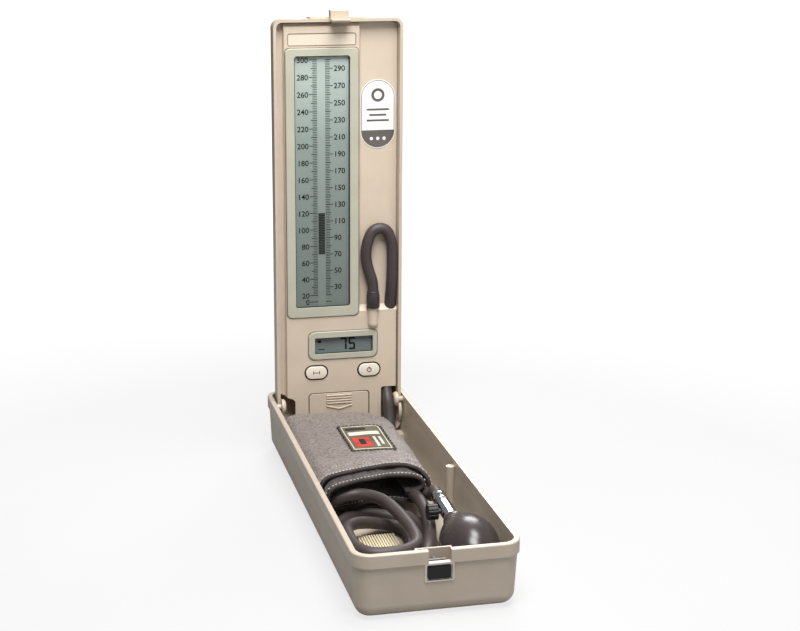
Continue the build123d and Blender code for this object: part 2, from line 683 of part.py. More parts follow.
# Instrument panel: one moulding over the whole lid, raised on the left and below the ledge
raised_outline = [
    (panel_left, panel_low),
    (panel_half, panel_low),
    (panel_half, ledge_z),
    (panel_right, ledge_z),
    (panel_right, panel_top),
    (panel_left, panel_top),
]
with BuildPart() as instrument_panel:
    with BuildSketch(facing(panel_y)):
        Polygon(*raised_outline, align=None)
    extrude(amount=panel_y - panel_back)
    crest = instrument_panel.edges().filter_by_position(Axis.Y, panel_y - 0.01, panel_y + 0.01)
    chamfer(crest.sort_by(Axis.Z)[-1], panel_chamfer)
    fillet(
        instrument_panel.edges().filter_by(Axis.Z).filter_by_position(Axis.Y, panel_y - 0.01, panel_y + 0.01),
        panel_round,
    )
    ledge_reach = column_y - panel_y
    with BuildSketch(Plane.YZ.offset(panel_right)) as slope:
        Polygon(
            (panel_y, ledge_z), (column_y, ledge_z + ledge_rise), (panel_back, ledge_z + ledge_rise),
            (panel_back, ledge_z - 1), (panel_y, ledge_z - 1), align=None,
        )
    extrude(amount=panel_half - panel_right)
    with BuildSketch(facing(column_y)) as base:
        with Locations((0, (panel_low + base_top) / 2)):
            Rectangle(2 * panel_half, base_top - panel_low)
        fillet(base.vertices().group_by(Axis.Y)[-1], lid_corner - lid_wall - 0.4)
    extrude(amount=-panel_wall)
    block(
        (panel_left + panel_wall, cavity_front, panel_low + panel_wall),
        (panel_half - 1.5, panel_back, ledge_z - panel_wall), mode=Mode.SUBTRACT,
    )
    block(
        (panel_left + panel_wall, cavity_front, panel_low + panel_wall),
        (panel_right - panel_wall, panel_back, panel_top - panel_chamfer - panel_wall), mode=Mode.SUBTRACT,
    )
    rod((nipple_x, nipple_boss_y, boss_low), (0, 0, 1), nipple_boss_radius, nipple_boss_top - boss_low)
    with Locations((nipple_x, nipple_boss_y, boss_low)):
        Sphere(nipple_boss_radius)
    rod((nipple_x, nipple_y, boss_low - 0.5), (0, 0, 1), nipple_radius + fit, 20, Mode.SUBTRACT)
    rod((nipple_x, nipple_y, nipple_boss_top), (0, 0, 1), sleeve_radius + 0.2, 20, Mode.SUBTRACT)
    rod((nipple_x, nipple_y, sensor_z), (0, 1, 0), 1.0, 5, Mode.SUBTRACT)
    rod((nipple_x, cavity_front + 0.2, sensor_z), (0, 1, 0), sensor_port_radius + fit, 5, Mode.SUBTRACT)
    block((-27, cavity_front, panel_low), (27, cover_back, cover_top + 2.5))
    slab(bezel_centre, grown(bezel_size, fit), bezel_corner, panel_y - 1, bezel_back, mode=Mode.SUBTRACT)
    slab(window_centre, grown(window_size, 1.4), 1.0, panel_y, panel_back, mode=Mode.SUBTRACT)
    slab(pulse_centre, grown(pulse_size, fit), pulse_corner, panel_y - 1, bezel_back, mode=Mode.SUBTRACT)
    slab(pulse_window_centre, grown(pulse_window_size, 1.2), 0.6, panel_y, panel_back, mode=Mode.SUBTRACT)
    slab(serial_centre, grown(serial_size, fit), 1.2, panel_y - 1, panel_y + serial_depth, mode=Mode.SUBTRACT)
    for centre in (marker_centre, power_centre):
        key_way = grown(button_size, key_gap)
        slab(centre, key_way, button_size[1] / 2, panel_y - 1, panel_back, mode=Mode.SUBTRACT)
    cover_low = panel_low - 1
    cover_mid = (cover_low + cover_top) / 2
    slab(
        (0, cover_mid), (cover_width + 2 * fit, cover_top + fit - cover_low), 3.0,
        panel_y - 1, cover_seat, mode=Mode.SUBTRACT,
    )
    block(
        (-cover_width / 2 - fit, panel_y - 1, cover_low), (cover_width / 2 + fit, cover_seat, cover_low + 5),
        mode=Mode.SUBTRACT,
    )
    block(
        (-cover_width / 2 - tongue, tongue_front - fit, cover_low),
        (cover_width / 2 + tongue, cover_seat, cover_top - 5), mode=Mode.SUBTRACT,
    )
    block(
        (-tray_half + tray_wall, cover_seat, tray_low + 0.4),
        (tray_half - tray_wall, cover_back, tray_top - 0.6),
        mode=Mode.SUBTRACT,
    )
    with BuildSketch(facing(panel_y - 1)):
        Polygon(*pin_notch, align=None)
    extrude(amount=-12, mode=Mode.SUBTRACT)
    slab(
        (hose_notch_x + hose_notch_size[0] / 2, hose_notch_z - hose_notch_size[1] / 2), hose_notch_size, 2.0,
        panel_y - 1, panel_back + 1, mode=Mode.SUBTRACT,
    )
    for x, z in panel_screws_at:
        foot_y = cavity_front - 0.2 if abs(x) < panel_left * -1 else column_y + 0.5
        rod((x, foot_y, z), (0, 1, 0), panel_boss_radius, boss_y - foot_y)
        rod((x, boss_y - 4.6, z), (0, 1, 0), screw_radius + fit, 6, Mode.SUBTRACT)
    for x, z in board_screws_at:
        rod((x, cavity_front - 0.2, z), (0, 1, 0), board_boss_radius, board_y - cavity_front + 0.2)
        rod((x, board_y - 4.5, z), (0, 1, 0), board_screw_radius + fit, 6, Mode.SUBTRACT)
    add(hose_way_part, mode=Mode.SUBTRACT)

with BuildPart() as serial_plate:
    slab(serial_centre, serial_size, 1.2, panel_y + 0.1, panel_y + serial_depth)

with BuildPart() as column_badge:
    slab(badge_centre, badge_size, badge_size[0] / 2 - 0.01, column_y - badge_thickness, column_y)

# Displays
with BuildPart() as lcd_bezel:
    slab(bezel_centre, bezel_size, bezel_corner, panel_y - bezel_proud, bezel_back)
    fillet(lcd_bezel.faces().sort_by(Axis.Y)[0].edges(), 0.6)
    slab(window_centre, window_size, 2.0, panel_y - bezel_proud, bezel_back, mode=Mode.SUBTRACT)

with BuildPart() as lcd_window:
    slab(window_centre, grown(window_size, 1.3), 1.0, bezel_back, bezel_back + lens_thickness)

with BuildPart() as lcd_display:
    slab(window_centre, grown(window_size, 2.2), 0.5, lcd_front, lcd_front + glass_thickness)
    slab(window_centre, grown(window_size, 0.5), 0.5, lcd_front + glass_thickness, board_y)

with BuildPart() as pulse_bezel:
    slab(pulse_centre, pulse_size, pulse_corner, panel_y - bezel_proud, bezel_back)
    fillet(pulse_bezel.faces().sort_by(Axis.Y)[0].edges(), 0.6)
    slab(pulse_window_centre, pulse_window_size, 0.5, panel_y - bezel_proud, bezel_back, mode=Mode.SUBTRACT)

with BuildPart() as pulse_window:
    slab(pulse_window_centre, grown(pulse_window_size, 1.1), 0.6, bezel_back, bezel_back + lens_thickness)

with BuildPart() as pulse_display:
    slab(pulse_window_centre, grown(pulse_window_size, 2.0), 0.5, lcd_front, lcd_front + glass_thickness)
    slab(pulse_window_centre, grown(pulse_window_size, 0.5), 0.5, lcd_front + glass_thickness, board_y)

# Buttons: a cap in the panel, a flange behind it and a stem over the dome switch
keys = {}
for name, centre in (("marker_button", marker_centre), ("power_button", power_centre)):
    with BuildPart() as key:
        slab(centre, button_size, button_size[1] / 2 - 0.01, panel_y - key_proud, cavity_front + 0.1)
        fillet(key.faces().sort_by(Axis.Y)[0].edges(), 0.7)
        slab(
            centre, grown(button_size, 1.0), button_size[1] / 2, cavity_front + 0.1,
            cavity_front + 0.1 + key_flange,
        )
        rod(
            (centre[0], cavity_front + key_flange, centre[1]), (0, 1, 0), key_stem_radius,
            dome_y - 0.1 - key_travel - cavity_front - key_flange,
        )
    keys[name] = key.part

with BuildPart() as dome_switches:
    for x, z in (marker_centre, power_centre):
        rod((x, board_y, z), (0, -1, 0), dome_radius, dome_height)
    fillet(dome_switches.faces().group_by(Axis.Y)[0].edges(), 0.6)

# Circuit board with its chips, the pressure sensor and the buzzer
with BuildPart() as circuit_board:
    block((board_left, board_y, board_step), (board_right, board_y + board_thickness, board_top))
    block((board_left, board_y, board_low), (board_right_low, board_y + board_thickness, board_low_top))
    for x, z, w, h in chips:
        block(
            (x - w / 2, board_back, z - h / 2),
            (x + w / 2, board_back + chip_height, z + h / 2),
        )
    for x, z in board_screws_at:
        rod((x, board_y - 1, z), (0, 1, 0), board_screw_radius + 0.1, 4, Mode.SUBTRACT)

with BuildPart() as board_screws:
    for x, z in board_screws_at:
        rod((x, board_back, z), (0, 1, 0), board_screw_head, 1.3)
        rod((x, board_back, z), (0, -1, 0), board_screw_radius, 5.8)

with BuildPart() as pressure_sensor:
    slab((nipple_x, sensor_z), (sensor_width, sensor_width), 0.8, sensor_front, board_y)
    rod((nipple_x, sensor_front, sensor_z), (0, -1, 0), sensor_port_radius, sensor_front - cavity_front - 0.3)
    rod((nipple_x, cavity_front, sensor_z), (0, 1, 0), 0.6, sensor_front - cavity_front + 1, Mode.SUBTRACT)

with BuildPart() as buzzer:
    rod((buzzer_at[0], board_back, buzzer_at[1]), (0, 1, 0), buzzer_radius, buzzer_height)
    rod((buzzer_at[0], board_back + buzzer_height - 0.6, buzzer_at[1]), (0, 1, 0), 1.2, 1, Mode.SUBTRACT)

# Battery compartment: cover, tray, two cells and the contacts at their ends
with BuildPart() as battery_cover:
    slab(
        (0, (cover_end + cover_top) / 2), (cover_width, cover_top - cover_end), cover_corner,
        panel_y, panel_y + cover_thickness,
    )
    block((-cover_width / 2, panel_y, cover_end), (cover_width / 2, panel_y + cover_thickness, cover_end + 4))
    block(
        (-cover_width / 2 - tongue + 0.1, tongue_front, cover_end),
        (cover_width / 2 + tongue - 0.1, panel_y + cover_thickness, cover_top - 9.4),
    )
    for k in range(4):
        rib_z = cover_rib_top - k * cover_rib_pitch
        block(
            (-cover_rib_half, panel_y - cover_rib_proud, rib_z - cover_rib_height),
            (cover_rib_half, panel_y + 0.1, rib_z),
        )
    with BuildSketch(facing(panel_y - cover_rib_proud)):
        chevron_z = cover_rib_top - 4 * cover_rib_pitch
        Polygon(
            (-cover_rib_half, chevron_z), (0, chevron_z - chevron_depth), (cover_rib_half, chevron_z),
            (cover_rib_half, chevron_z - cover_rib_height), (0, chevron_z - chevron_depth - cover_rib_height),
            (-cover_rib_half, chevron_z - cover_rib_height), align=None,
        )
    extrude(amount=-cover_rib_proud - 0.1)

tray_front = cover_back + 0.05
tray_outline = [
    (tray_front, tray_low), (tray_back - tray_chamfer, tray_low), (tray_back, tray_low + tray_chamfer),
    (tray_back, tray_top), (tray_front, tray_top),
]
with BuildPart() as battery_tray:
    across(tray_outline, tray_half)
    across(
        [
            (tray_front - 1, tray_low + tray_wall),
            (tray_back - tray_chamfer - 0.6, tray_low + tray_wall),
            (tray_back - tray_wall, tray_low + tray_chamfer + 0.6),
            (tray_back - tray_wall, tray_top - tray_wall),
            (tray_front - 1, tray_top - tray_wall),
        ],
        tray_half - tray_wall,
        mode=Mode.SUBTRACT,
    )

with BuildPart() as batteries:
    for k in range(2):
        cell_z = cell_low + k * cell_pitch
        way_x = 1 - 2 * k
        rod((-way_x * cell_length / 2, cell_y, cell_z), (way_x, 0, 0), cell_radius, cell_length - 1.0)
        rod((way_x * (cell_length / 2 - 1.0), cell_y, cell_z), (way_x, 0, 0), 1.9, 1.0)

with BuildPart() as battery_contacts:
    contact_x = cell_length / 2
    contact_low = cell_low - contact_half
    contact_y = (cell_y - contact_half, cell_y + contact_half)
    block(
        (-contact_x - contact_thickness, contact_y[0], contact_low),
        (-contact_x, contact_y[1], contact_low + cell_pitch + 2 * contact_half),
    )
    for low in (contact_low, contact_low + cell_pitch):
        block(
            (contact_x, contact_y[0], low),
            (contact_x + contact_thickness, contact_y[1], low + 2 * contact_half),
        )

# Hose fittings on the lid
with BuildPart() as hose_nipple:
    rod((nipple_x, nipple_y, sensor_z + 1.6), (0, 0, 1), nipple_radius, nipple_boss_top - sensor_z - 1.6)
    rod((nipple_x, nipple_y, nipple_boss_top), (0, 0, 1), 3.6, 1.0)
    rod((nipple_x, nipple_y, nipple_boss_top + 1), (0, 0, 1), barb_radius, barb_length)
    chamfer(hose_nipple.edges().group_by(Axis.Z)[-1], 0.5)
    rod((nipple_x, nipple_y, sensor_z + 1), (0, 0, 1), 1.2, 40, Mode.SUBTRACT)

with BuildPart() as hose_sleeve:
    rod((nipple_x, nipple_y, nipple_boss_top + 1.05), (0, 0, 1), sleeve_radius, sleeve_length - 0.15)
    fillet(hose_sleeve.edges().group_by(Axis.Z)[-1], 0.8)
    rod((nipple_x, nipple_y, nipple_boss_top), (0, 0, 1), barb_radius + fit, barb_length + 1.3, Mode.SUBTRACT)

with BuildPart() as lid_hose:
    add(lid_hose_part)
    with Locations(lid_route[-1]):
        Sphere(hose_radius)

# Bulb, its valve and its fittings, all turned round one axis
bulb_way = Vector(bulb_heading).normalized()
bulb_side = Vector(0, 0, 1).cross(bulb_way).normalized()
bulb_plane = Plane(origin=bulb_centre, x_dir=bulb_side, z_dir=bulb_side.cross(bulb_way))
bulb_axis = Axis(origin=bulb_centre, direction=bulb_way)


def along_bulb(distance):
    return Vector(bulb_centre) + bulb_way * distance


# Hoses in the case
manometer_hose_part = hose(case_route, hose_radius, "manometer_hose")
bulb_route = [
    tuple(along_bulb(neck_end + 27.2 + coupler_length)),
    tuple(along_bulb(neck_end + 35.2 + coupler_length)),
    (31.2, -36.5, 31.2),
    (33.5, -28.0, 24.8),
    (33.6, -18.0, 19.8),
    (32.0, -5.0, 19.0),
    (31.4, fold_front - hose_end_gap, 19.0),
]
bulb_hose_part = hose(bulb_route, hose_radius, "bulb_hose")

with BuildPart() as bulb:
    with BuildSketch(bulb_plane):
        with BuildLine():
            Spline(*bulb_outline)
            Polyline(bulb_outline[-1], (neck_radius, neck_end), (bulb_port, neck_end), bulb_hollow[-1])
            Spline(*bulb_hollow)
            Polyline(
                bulb_hollow[0], (inlet_bore, bulb_outline[0][1]), bulb_outline[0],
            )
        make_face()
    revolve(axis=bulb_axis)

with BuildPart() as valve_body:
    with BuildSketch(bulb_plane):
        Polygon(
            (0, neck_end - 7), (bulb_port - fit, neck_end - 7), (bulb_port - fit, neck_end),
            (6.2, neck_end), (6.2, neck_end + 2.4), (4.6, neck_end + 3.2), (4.6, neck_end + 9.4),
            (5.6, neck_end + 10.2), (5.6, neck_end + 19.6), (4.4, neck_end + 20.4), (4.4, neck_end + 27),
            (3.0, neck_end + 27), (3.0, neck_end + 34), (0, neck_end + 34), align=None,
        )
    revolve(axis=bulb_axis)
    rod(along_bulb(neck_end - 8), bulb_way, 1.2, 45, Mode.SUBTRACT)
    rod(along_bulb(screw_place), (-1, 0, 0), screw_bore, 8, Mode.SUBTRACT)

with BuildPart() as valve_screw:
    knob_start = along_bulb(screw_place) + Vector(-knob_gap, 0, 0)
    with BuildSketch(Plane(origin=knob_start, z_dir=(-1, 0, 0))):
        Circle(knob_radius)
        with PolarLocations(knob_radius + 0.35, knob_flutes):
            Circle(0.8, mode=Mode.SUBTRACT)
    extrude(amount=knob_length)
    chamfer(valve_screw.faces().sort_by(Axis.X)[0].edges(), 0.35)
    rod(knob_start, (1, 0, 0), screw_bore - fit, knob_gap - 1.6)

with BuildPart() as hose_coupler:
    rod(along_bulb(neck_end + 27.1), bulb_way, 5.2, coupler_length)
    rod(along_bulb(neck_end + 26), bulb_way, 3.0 + fit, 8.3, Mode.SUBTRACT)

with BuildPart() as inlet_valve:
    with BuildSketch(bulb_plane):
        tail = bulb_outline[0][1]
        Polygon(
            (0, tail - 2.2), (2.4, tail - 2.0), (4.0, tail - 1.2), (4.0, tail), (inlet_bore - fit, tail),
            (inlet_bore - fit, tail + 5), (0, tail + 5), align=None,
        )
    revolve(axis=bulb_axis)
    rod(along_bulb(tail - 3), bulb_way, 0.9, 9, Mode.SUBTRACT)

# Cuff: folded flat over the hoses, with its thicker fold on the right
with BuildPart() as cuff:
    with BuildSketch(facing(cuff_ends[0])):
        Polygon(*cuff_section, align=None)
    extrude(amount=cuff_ends[0] - cuff_ends[1])
    for front, section in ((fold_front, fold_section), (leg_front, leg_section)):
        with BuildSketch(facing(front)):
            Polygon(*section, align=None)
        extrude(amount=front - cuff_ends[1])
    with BuildSketch(Plane.XY):
        Polygon(*cuff_plan, align=None)
    extrude(amount=rim_z, mode=Mode.INTERSECT)

with BuildPart() as cuff_label:
    with BuildSketch(facing(label_ends[0])):
        Polygon(*label_section, align=None)
    extrude(amount=label_ends[0] - label_ends[1])

pieces = {
    "case_shell": case_shell.part,
    "rubber_feet": rubber_feet.part,
    "ribbed_pad": ribbed_pad.part,
    "hinge_pins": hinge_pins.part,
    "latch_frame": latch_frame.part,
    "latch_button": latch_button.part,
    "latch_catch": latch_catch.part,
    "latch_spring": latch_spring.part,
    "lid_shell": lid_shell.part,
    "panel_screws": panel_screws.part,
    "instrument_panel": instrument_panel.part,
    "serial_plate": serial_plate.part,
    "column_badge": column_badge.part,
    "lcd_bezel": lcd_bezel.part,
    "lcd_window": lcd_window.part,
    "lcd_display": lcd_display.part,
    "pulse_bezel": pulse_bezel.part,
    "pulse_window": pulse_window.part,
    "pulse_display": pulse_display.part,
    "marker_button": keys["marker_button"],
    "power_button": keys["power_button"],
    "dome_switches": dome_switches.part,
    "circuit_board": circuit_board.part,
    "board_screws": board_screws.part,
    "pressure_sensor": pressure_sensor.part,
    "buzzer": buzzer.part,
    "battery_cover": battery_cover.part,
    "battery_tray": battery_tray.part,
    "batteries": batteries.part,
    "battery_contacts": battery_contacts.part,
    "hose_nipple": hose_nipple.part,
    "hose_sleeve": hose_sleeve.part,
    "lid_hose": lid_hose.part,
    "manometer_hose": manometer_hose_part,
    "bulb_hose": bulb_hose_part,
    "bulb": bulb.part,
    "valve_body": valve_body.part,
    "valve_screw": valve_screw.part,
    "hose_coupler": hose_coupler.part,
    "inlet_valve": inlet_valve.part,
    "cuff": cuff.part,
    "cuff_label": cuff_label.part,
}
for name, piece in pieces.items():
    piece.label = name
    export_step(piece, f"parts/{name}.step")
    box = piece.bounding_box()
    print(name, len(piece.solids()), round(piece.volume, 1), [round(v, 1) for v in (*box.min, *box.max)])
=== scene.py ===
from math import atan2, cos, pi, radians, sin, sqrt

import bmesh
import bpy
from mathutils import Matrix, Vector, noise
from mathutils.bvhtree import BVHTree


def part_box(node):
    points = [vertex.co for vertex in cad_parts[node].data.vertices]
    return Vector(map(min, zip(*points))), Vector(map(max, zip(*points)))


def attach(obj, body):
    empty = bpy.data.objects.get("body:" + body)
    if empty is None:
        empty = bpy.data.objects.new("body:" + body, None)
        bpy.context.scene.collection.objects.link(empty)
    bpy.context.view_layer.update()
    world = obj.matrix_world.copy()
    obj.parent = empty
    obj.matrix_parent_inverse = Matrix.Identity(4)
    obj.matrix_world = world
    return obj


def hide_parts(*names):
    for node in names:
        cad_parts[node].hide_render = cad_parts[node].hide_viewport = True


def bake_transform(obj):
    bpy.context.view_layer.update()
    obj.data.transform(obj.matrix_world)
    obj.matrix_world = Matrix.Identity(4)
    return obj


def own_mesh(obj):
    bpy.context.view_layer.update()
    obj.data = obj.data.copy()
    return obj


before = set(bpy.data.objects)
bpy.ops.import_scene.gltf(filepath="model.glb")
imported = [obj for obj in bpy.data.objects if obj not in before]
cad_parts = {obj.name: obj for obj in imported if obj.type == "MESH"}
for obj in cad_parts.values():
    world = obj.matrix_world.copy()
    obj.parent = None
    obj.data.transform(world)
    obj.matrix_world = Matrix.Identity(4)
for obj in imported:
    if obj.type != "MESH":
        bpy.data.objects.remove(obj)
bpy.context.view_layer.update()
mm = 0.001
scene = bpy.context.scene


def inMetres(place):
    return [c * mm for c in place]


def inScene(name, data):
    obj = bpy.data.objects.new(name, data)
    scene.collection.objects.link(obj)
    return obj


def tone(red, green, blue):
    # A colour as a picture editor gives it, from 0 to 255, made linear for the shader.
    return tuple((c / 255) ** 2.2 for c in (red, green, blue)) + (1.0,)


# Camera, at the angle and distance of the photograph
cameraLook = {
    "place": (-252.6, -1093.2, 457.2),
    "turn": (1.3082, -0.0059, -0.2331),
    "lens": 74.84,
    "shift": (0.0100, -0.0088),
}
cameraData = bpy.data.cameras.new("studioCamera")
cameraData.sensor_width = 36
cameraData.lens = cameraLook["lens"]
cameraData.shift_x, cameraData.shift_y = cameraLook["shift"]
camera = inScene("studioCamera", cameraData)
camera.location = Vector(cameraLook["place"]) * mm
camera.rotation_euler = cameraLook["turn"]
scene.camera = camera
print("camera placed")


# Finishes. Each is two close tones in soft patches, a grain that raises the surface, and a sheen.
finishLooks = {
    "casePlastic": {"tones": ((182, 169, 153), (187, 174, 158)), "rough": (0.3, 0.4), "grain": (1500, 0.05)},
    "panelPlastic": {"tones": ((198, 182, 163), (202, 186, 167)), "rough": (0.34, 0.44), "grain": (1500, 0.05)},
    "lidPlastic": {"tones": ((188, 174, 156), (192, 178, 160)), "rough": (0.3, 0.4), "grain": (1500, 0.05)},
    "keyPlastic": {"tones": ((226, 215, 199), (230, 219, 203)), "rough": (0.26, 0.34), "grain": (1600, 0.03)},
    "bezelPlastic": {"tones": ((174, 172, 155), (179, 177, 160)), "rough": (0.3, 0.4), "grain": (1800, 0.03)},
    "platePlastic": {"tones": ((212, 199, 180), (216, 203, 184)), "rough": (0.3, 0.4), "grain": (1500, 0.04)},
    "blackPlastic": {"tones": ((14, 14, 16), (22, 22, 24)), "rough": (0.12, 0.2), "grain": (900, 0.02)},
    "trayPlastic": {"tones": ((60, 58, 56), (72, 70, 66)), "rough": (0.4, 0.5), "grain": (1200, 0.05)},
    "chromeMetal": {
        "tones": ((176, 176, 180), (206, 206, 210)), "rough": (0.06, 0.14), "grain": (700, 0.01), "metal": 1.0,
    },
    "frameMetal": {
        "tones": ((222, 216, 208), (234, 228, 220)), "rough": (0.36, 0.46), "grain": (900, 0.005), "metal": 1.0,
    },
    "steelMetal": {
        "tones": ((112, 110, 108), (134, 132, 130)), "rough": (0.34, 0.44), "grain": (900, 0.005), "metal": 1.0,
    },
    "brassMetal": {"tones": ((190, 160, 96), (208, 178, 112)), "rough": (0.2, 0.3), "grain": (900, 0.03), "metal": 1.0},
    "hoseRubber": {"tones": ((62, 54, 53), (70, 62, 61)), "rough": (0.46, 0.56), "grain": (1300, 0.05)},
    "sleeveRubber": {"tones": ((48, 43, 44), (56, 51, 52)), "rough": (0.42, 0.52), "grain": (1500, 0.06)},
    "bulbRubber": {"tones": ((56, 50, 50), (64, 58, 57)), "rough": (0.22, 0.3), "grain": (1700, 0.03)},
    "feetRubber": {"tones": ((32, 32, 32), (44, 44, 44)), "rough": (0.6, 0.75), "grain": (1400, 0.1)},
    "padFoam": {"tones": ((204, 192, 160), (222, 210, 178)), "rough": (0.6, 0.75), "grain": (2200, 0.15)},
    "knobPlastic": {"tones": ((30, 29, 30), (40, 38, 40)), "rough": (0.3, 0.4), "grain": (1200, 0.05)},
    "boardLaminate": {"tones": ((28, 84, 52), (40, 100, 64)), "rough": (0.35, 0.45), "grain": (900, 0.05)},
    # Black for printed marks, and for the dark rings of painted shade round the windows and keys
    "inkAndShadeBlack": {"tones": ((10, 12, 13), (18, 20, 21)), "rough": (0.6, 0.7), "grain": (1500, 0.01)},
    "barGrey": {"tones": ((34, 38, 38), (46, 50, 50)), "rough": (0.5, 0.6), "grain": (1500, 0.01)},
    "shadeLine": {"tones": ((96, 84, 72), (108, 96, 84)), "rough": (0.6, 0.7), "grain": (1500, 0.02)},
    "padGrooveShade": {"tones": ((112, 102, 76), (128, 118, 90)), "rough": (0.7, 0.85), "grain": (2200, 0.1)},
    "hemCloth": {"tones": ((38, 33, 32), (60, 53, 51)), "rough": (0.65, 0.8), "grain": (2600, 0.3)},
    "badgeWhite": {"tones": ((228, 228, 224), (236, 236, 232)), "rough": (0.25, 0.35), "grain": (1500, 0.01)},
    "badgeGrey": {"tones": ((92, 86, 82), (102, 96, 92)), "rough": (0.25, 0.35), "grain": (1500, 0.01)},
    "threadLight": {"tones": ((176, 168, 162), (204, 196, 190)), "rough": (0.7, 0.85), "grain": (3000, 0.1)},
    "labelCream": {"tones": ((196, 190, 178), (214, 208, 196)), "rough": (0.7, 0.85), "grain": (3000, 0.2)},
    "labelRed": {"tones": ((160, 50, 42), (186, 66, 54)), "rough": (0.7, 0.85), "grain": (3000, 0.2)},
    "labelOlive": {"tones": ((82, 76, 60), (98, 92, 74)), "rough": (0.7, 0.85), "grain": (3000, 0.2)},
    "labelBlack": {"tones": ((30, 27, 27), (42, 39, 38)), "rough": (0.75, 0.9), "grain": (3000, 0.2)},
}


def noiseNode(nodes, links, source, scale, detail):
    texture = nodes.new("ShaderNodeTexNoise")
    texture.inputs["Scale"].default_value = scale
    texture.inputs["Detail"].default_value = detail
    links.new(source, texture.inputs["Vector"])
    return texture


def rampNode(nodes, links, source, colours, low=0.35, high=0.65):
    ramp = nodes.new("ShaderNodeValToRGB")
    ramp.color_ramp.elements[0].position, ramp.color_ramp.elements[1].position = low, high
    ramp.color_ramp.elements[0].color, ramp.color_ramp.elements[1].color = colours
    links.new(source, ramp.inputs["Fac"])
    return ramp


def startFinish(name):
    material = bpy.data.materials.new(name)
    material.use_nodes = True
    nodes, links = material.node_tree.nodes, material.node_tree.links
    coords = nodes.new("ShaderNodeTexCoord").outputs["Object"]
    return material, nodes, links, nodes["Principled BSDF"], coords


def addGrain(nodes, links, shader, coords, scale, depth):
    grain = noiseNode(nodes, links, coords, scale, 3)
    bump = nodes.new("ShaderNodeBump")
    bump.inputs["Strength"].default_value = depth
    bump.inputs["Distance"].default_value = 0.2 * mm
    links.new(grain.outputs["Fac"], bump.inputs["Height"])
    links.new(bump.outputs["Normal"], shader.inputs["Normal"])


def spreadNode(nodes, links, source, low, high):
    # Brings a value from 0 to 1 into the span from low to high.
    spread = nodes.new("ShaderNodeMapRange")
    spread.inputs["To Min"].default_value, spread.inputs["To Max"].default_value = low, high
    links.new(source, spread.inputs["Value"])
    return spread


def addRoughness(nodes, links, shader, coords, low, high):
    wear = noiseNode(nodes, links, coords, 160, 2)
    spread = spreadNode(nodes, links, wear.outputs["Fac"], low, high)
    links.new(spread.outputs["Result"], shader.inputs["Roughness"])


finishes = {}
for name, look in finishLooks.items():
    material, nodes, links, shader, coords = startFinish(name)
    patches = noiseNode(nodes, links, coords, 60, 3)
    ramp = rampNode(nodes, links, patches.outputs["Fac"], [tone(*t) for t in look["tones"]])
    links.new(ramp.outputs["Color"], shader.inputs["Base Color"])
    shader.inputs["Metallic"].default_value = look.get("metal", 0.0)
    addRoughness(nodes, links, shader, coords, *look["rough"])
    addGrain(nodes, links, shader, coords, *look["grain"])
    finishes[name] = material

# Cuff cloth: coated nylon, a pebbled skin over broad soft patches, and a darker copy of it, painted shade, for the
# inner and under layers
clothLooks = {
    "cuffNylon": {"tones": ((140, 129, 124), (106, 97, 93)), "pebble": 540, "depth": 0.7, "rough": (0.36, 0.5)},
    "cuffShadeNylon": {"tones": ((74, 67, 65), (48, 43, 42)), "pebble": 540, "depth": 0.5, "rough": (0.55, 0.7)},
}
skinLook = {
    "patches": 70, "faint": 0.16, "warp": 240, "bend": 0.002, "share": 0.8, "ramp": (0.22, 0.7), "sheen": 0.2,
    "relief": 0.9, "threads": 2600, "threadDepth": 0.2, "threadRelief": 0.2,
}
for name, look in clothLooks.items():
    material, nodes, links, shader, coords = startFinish(name)
    patches = noiseNode(nodes, links, coords, skinLook["patches"], 2)
    faint = nodes.new("ShaderNodeMath")
    faint.operation = "MULTIPLY"
    faint.inputs[1].default_value = skinLook["faint"]
    links.new(patches.outputs["Fac"], faint.inputs[0])
    warp = noiseNode(nodes, links, coords, skinLook["warp"], 2)
    bent = nodes.new("ShaderNodeVectorMath")
    bent.operation = "MULTIPLY_ADD"
    bent.inputs[1].default_value = (skinLook["bend"],) * 3
    links.new(warp.outputs["Color"], bent.inputs[0])
    links.new(coords, bent.inputs[2])
    pebbles = nodes.new("ShaderNodeTexVoronoi")
    pebbles.inputs["Scale"].default_value = look["pebble"]
    links.new(bent.outputs[0], pebbles.inputs["Vector"])
    mixed = nodes.new("ShaderNodeMath")
    mixed.operation = "MULTIPLY_ADD"
    mixed.inputs[1].default_value = skinLook["share"]
    links.new(pebbles.outputs["Distance"], mixed.inputs[0])
    links.new(faint.outputs[0], mixed.inputs[2])
    # The colour follows the pebbles: their sunken edges come out darker than their middles, painted shade in the
    # hollows
    ramp = rampNode(nodes, links, mixed.outputs[0], [tone(*t) for t in look["tones"]], *skinLook["ramp"])
    links.new(ramp.outputs["Color"], shader.inputs["Base Color"])
    addRoughness(nodes, links, shader, coords, *look["rough"])
    shader.inputs["Sheen Weight"].default_value = skinLook["sheen"]
    pebbleBump = nodes.new("ShaderNodeBump")
    pebbleBump.inputs["Strength"].default_value = look["depth"]
    pebbleBump.inputs["Distance"].default_value = skinLook["relief"] * mm
    pebbleBump.invert = True
    links.new(pebbles.outputs["Distance"], pebbleBump.inputs["Height"])
    threads = noiseNode(nodes, links, coords, skinLook["threads"], 2)
    threadBump = nodes.new("ShaderNodeBump")
    threadBump.inputs["Strength"].default_value = skinLook["threadDepth"]
    threadBump.inputs["Distance"].default_value = skinLook["threadRelief"] * mm
    links.new(threads.outputs["Fac"], threadBump.inputs["Height"])
    links.new(pebbleBump.outputs["Normal"], threadBump.inputs["Normal"])
    links.new(threadBump.outputs["Normal"], shader.inputs["Normal"])
    finishes[name] = material


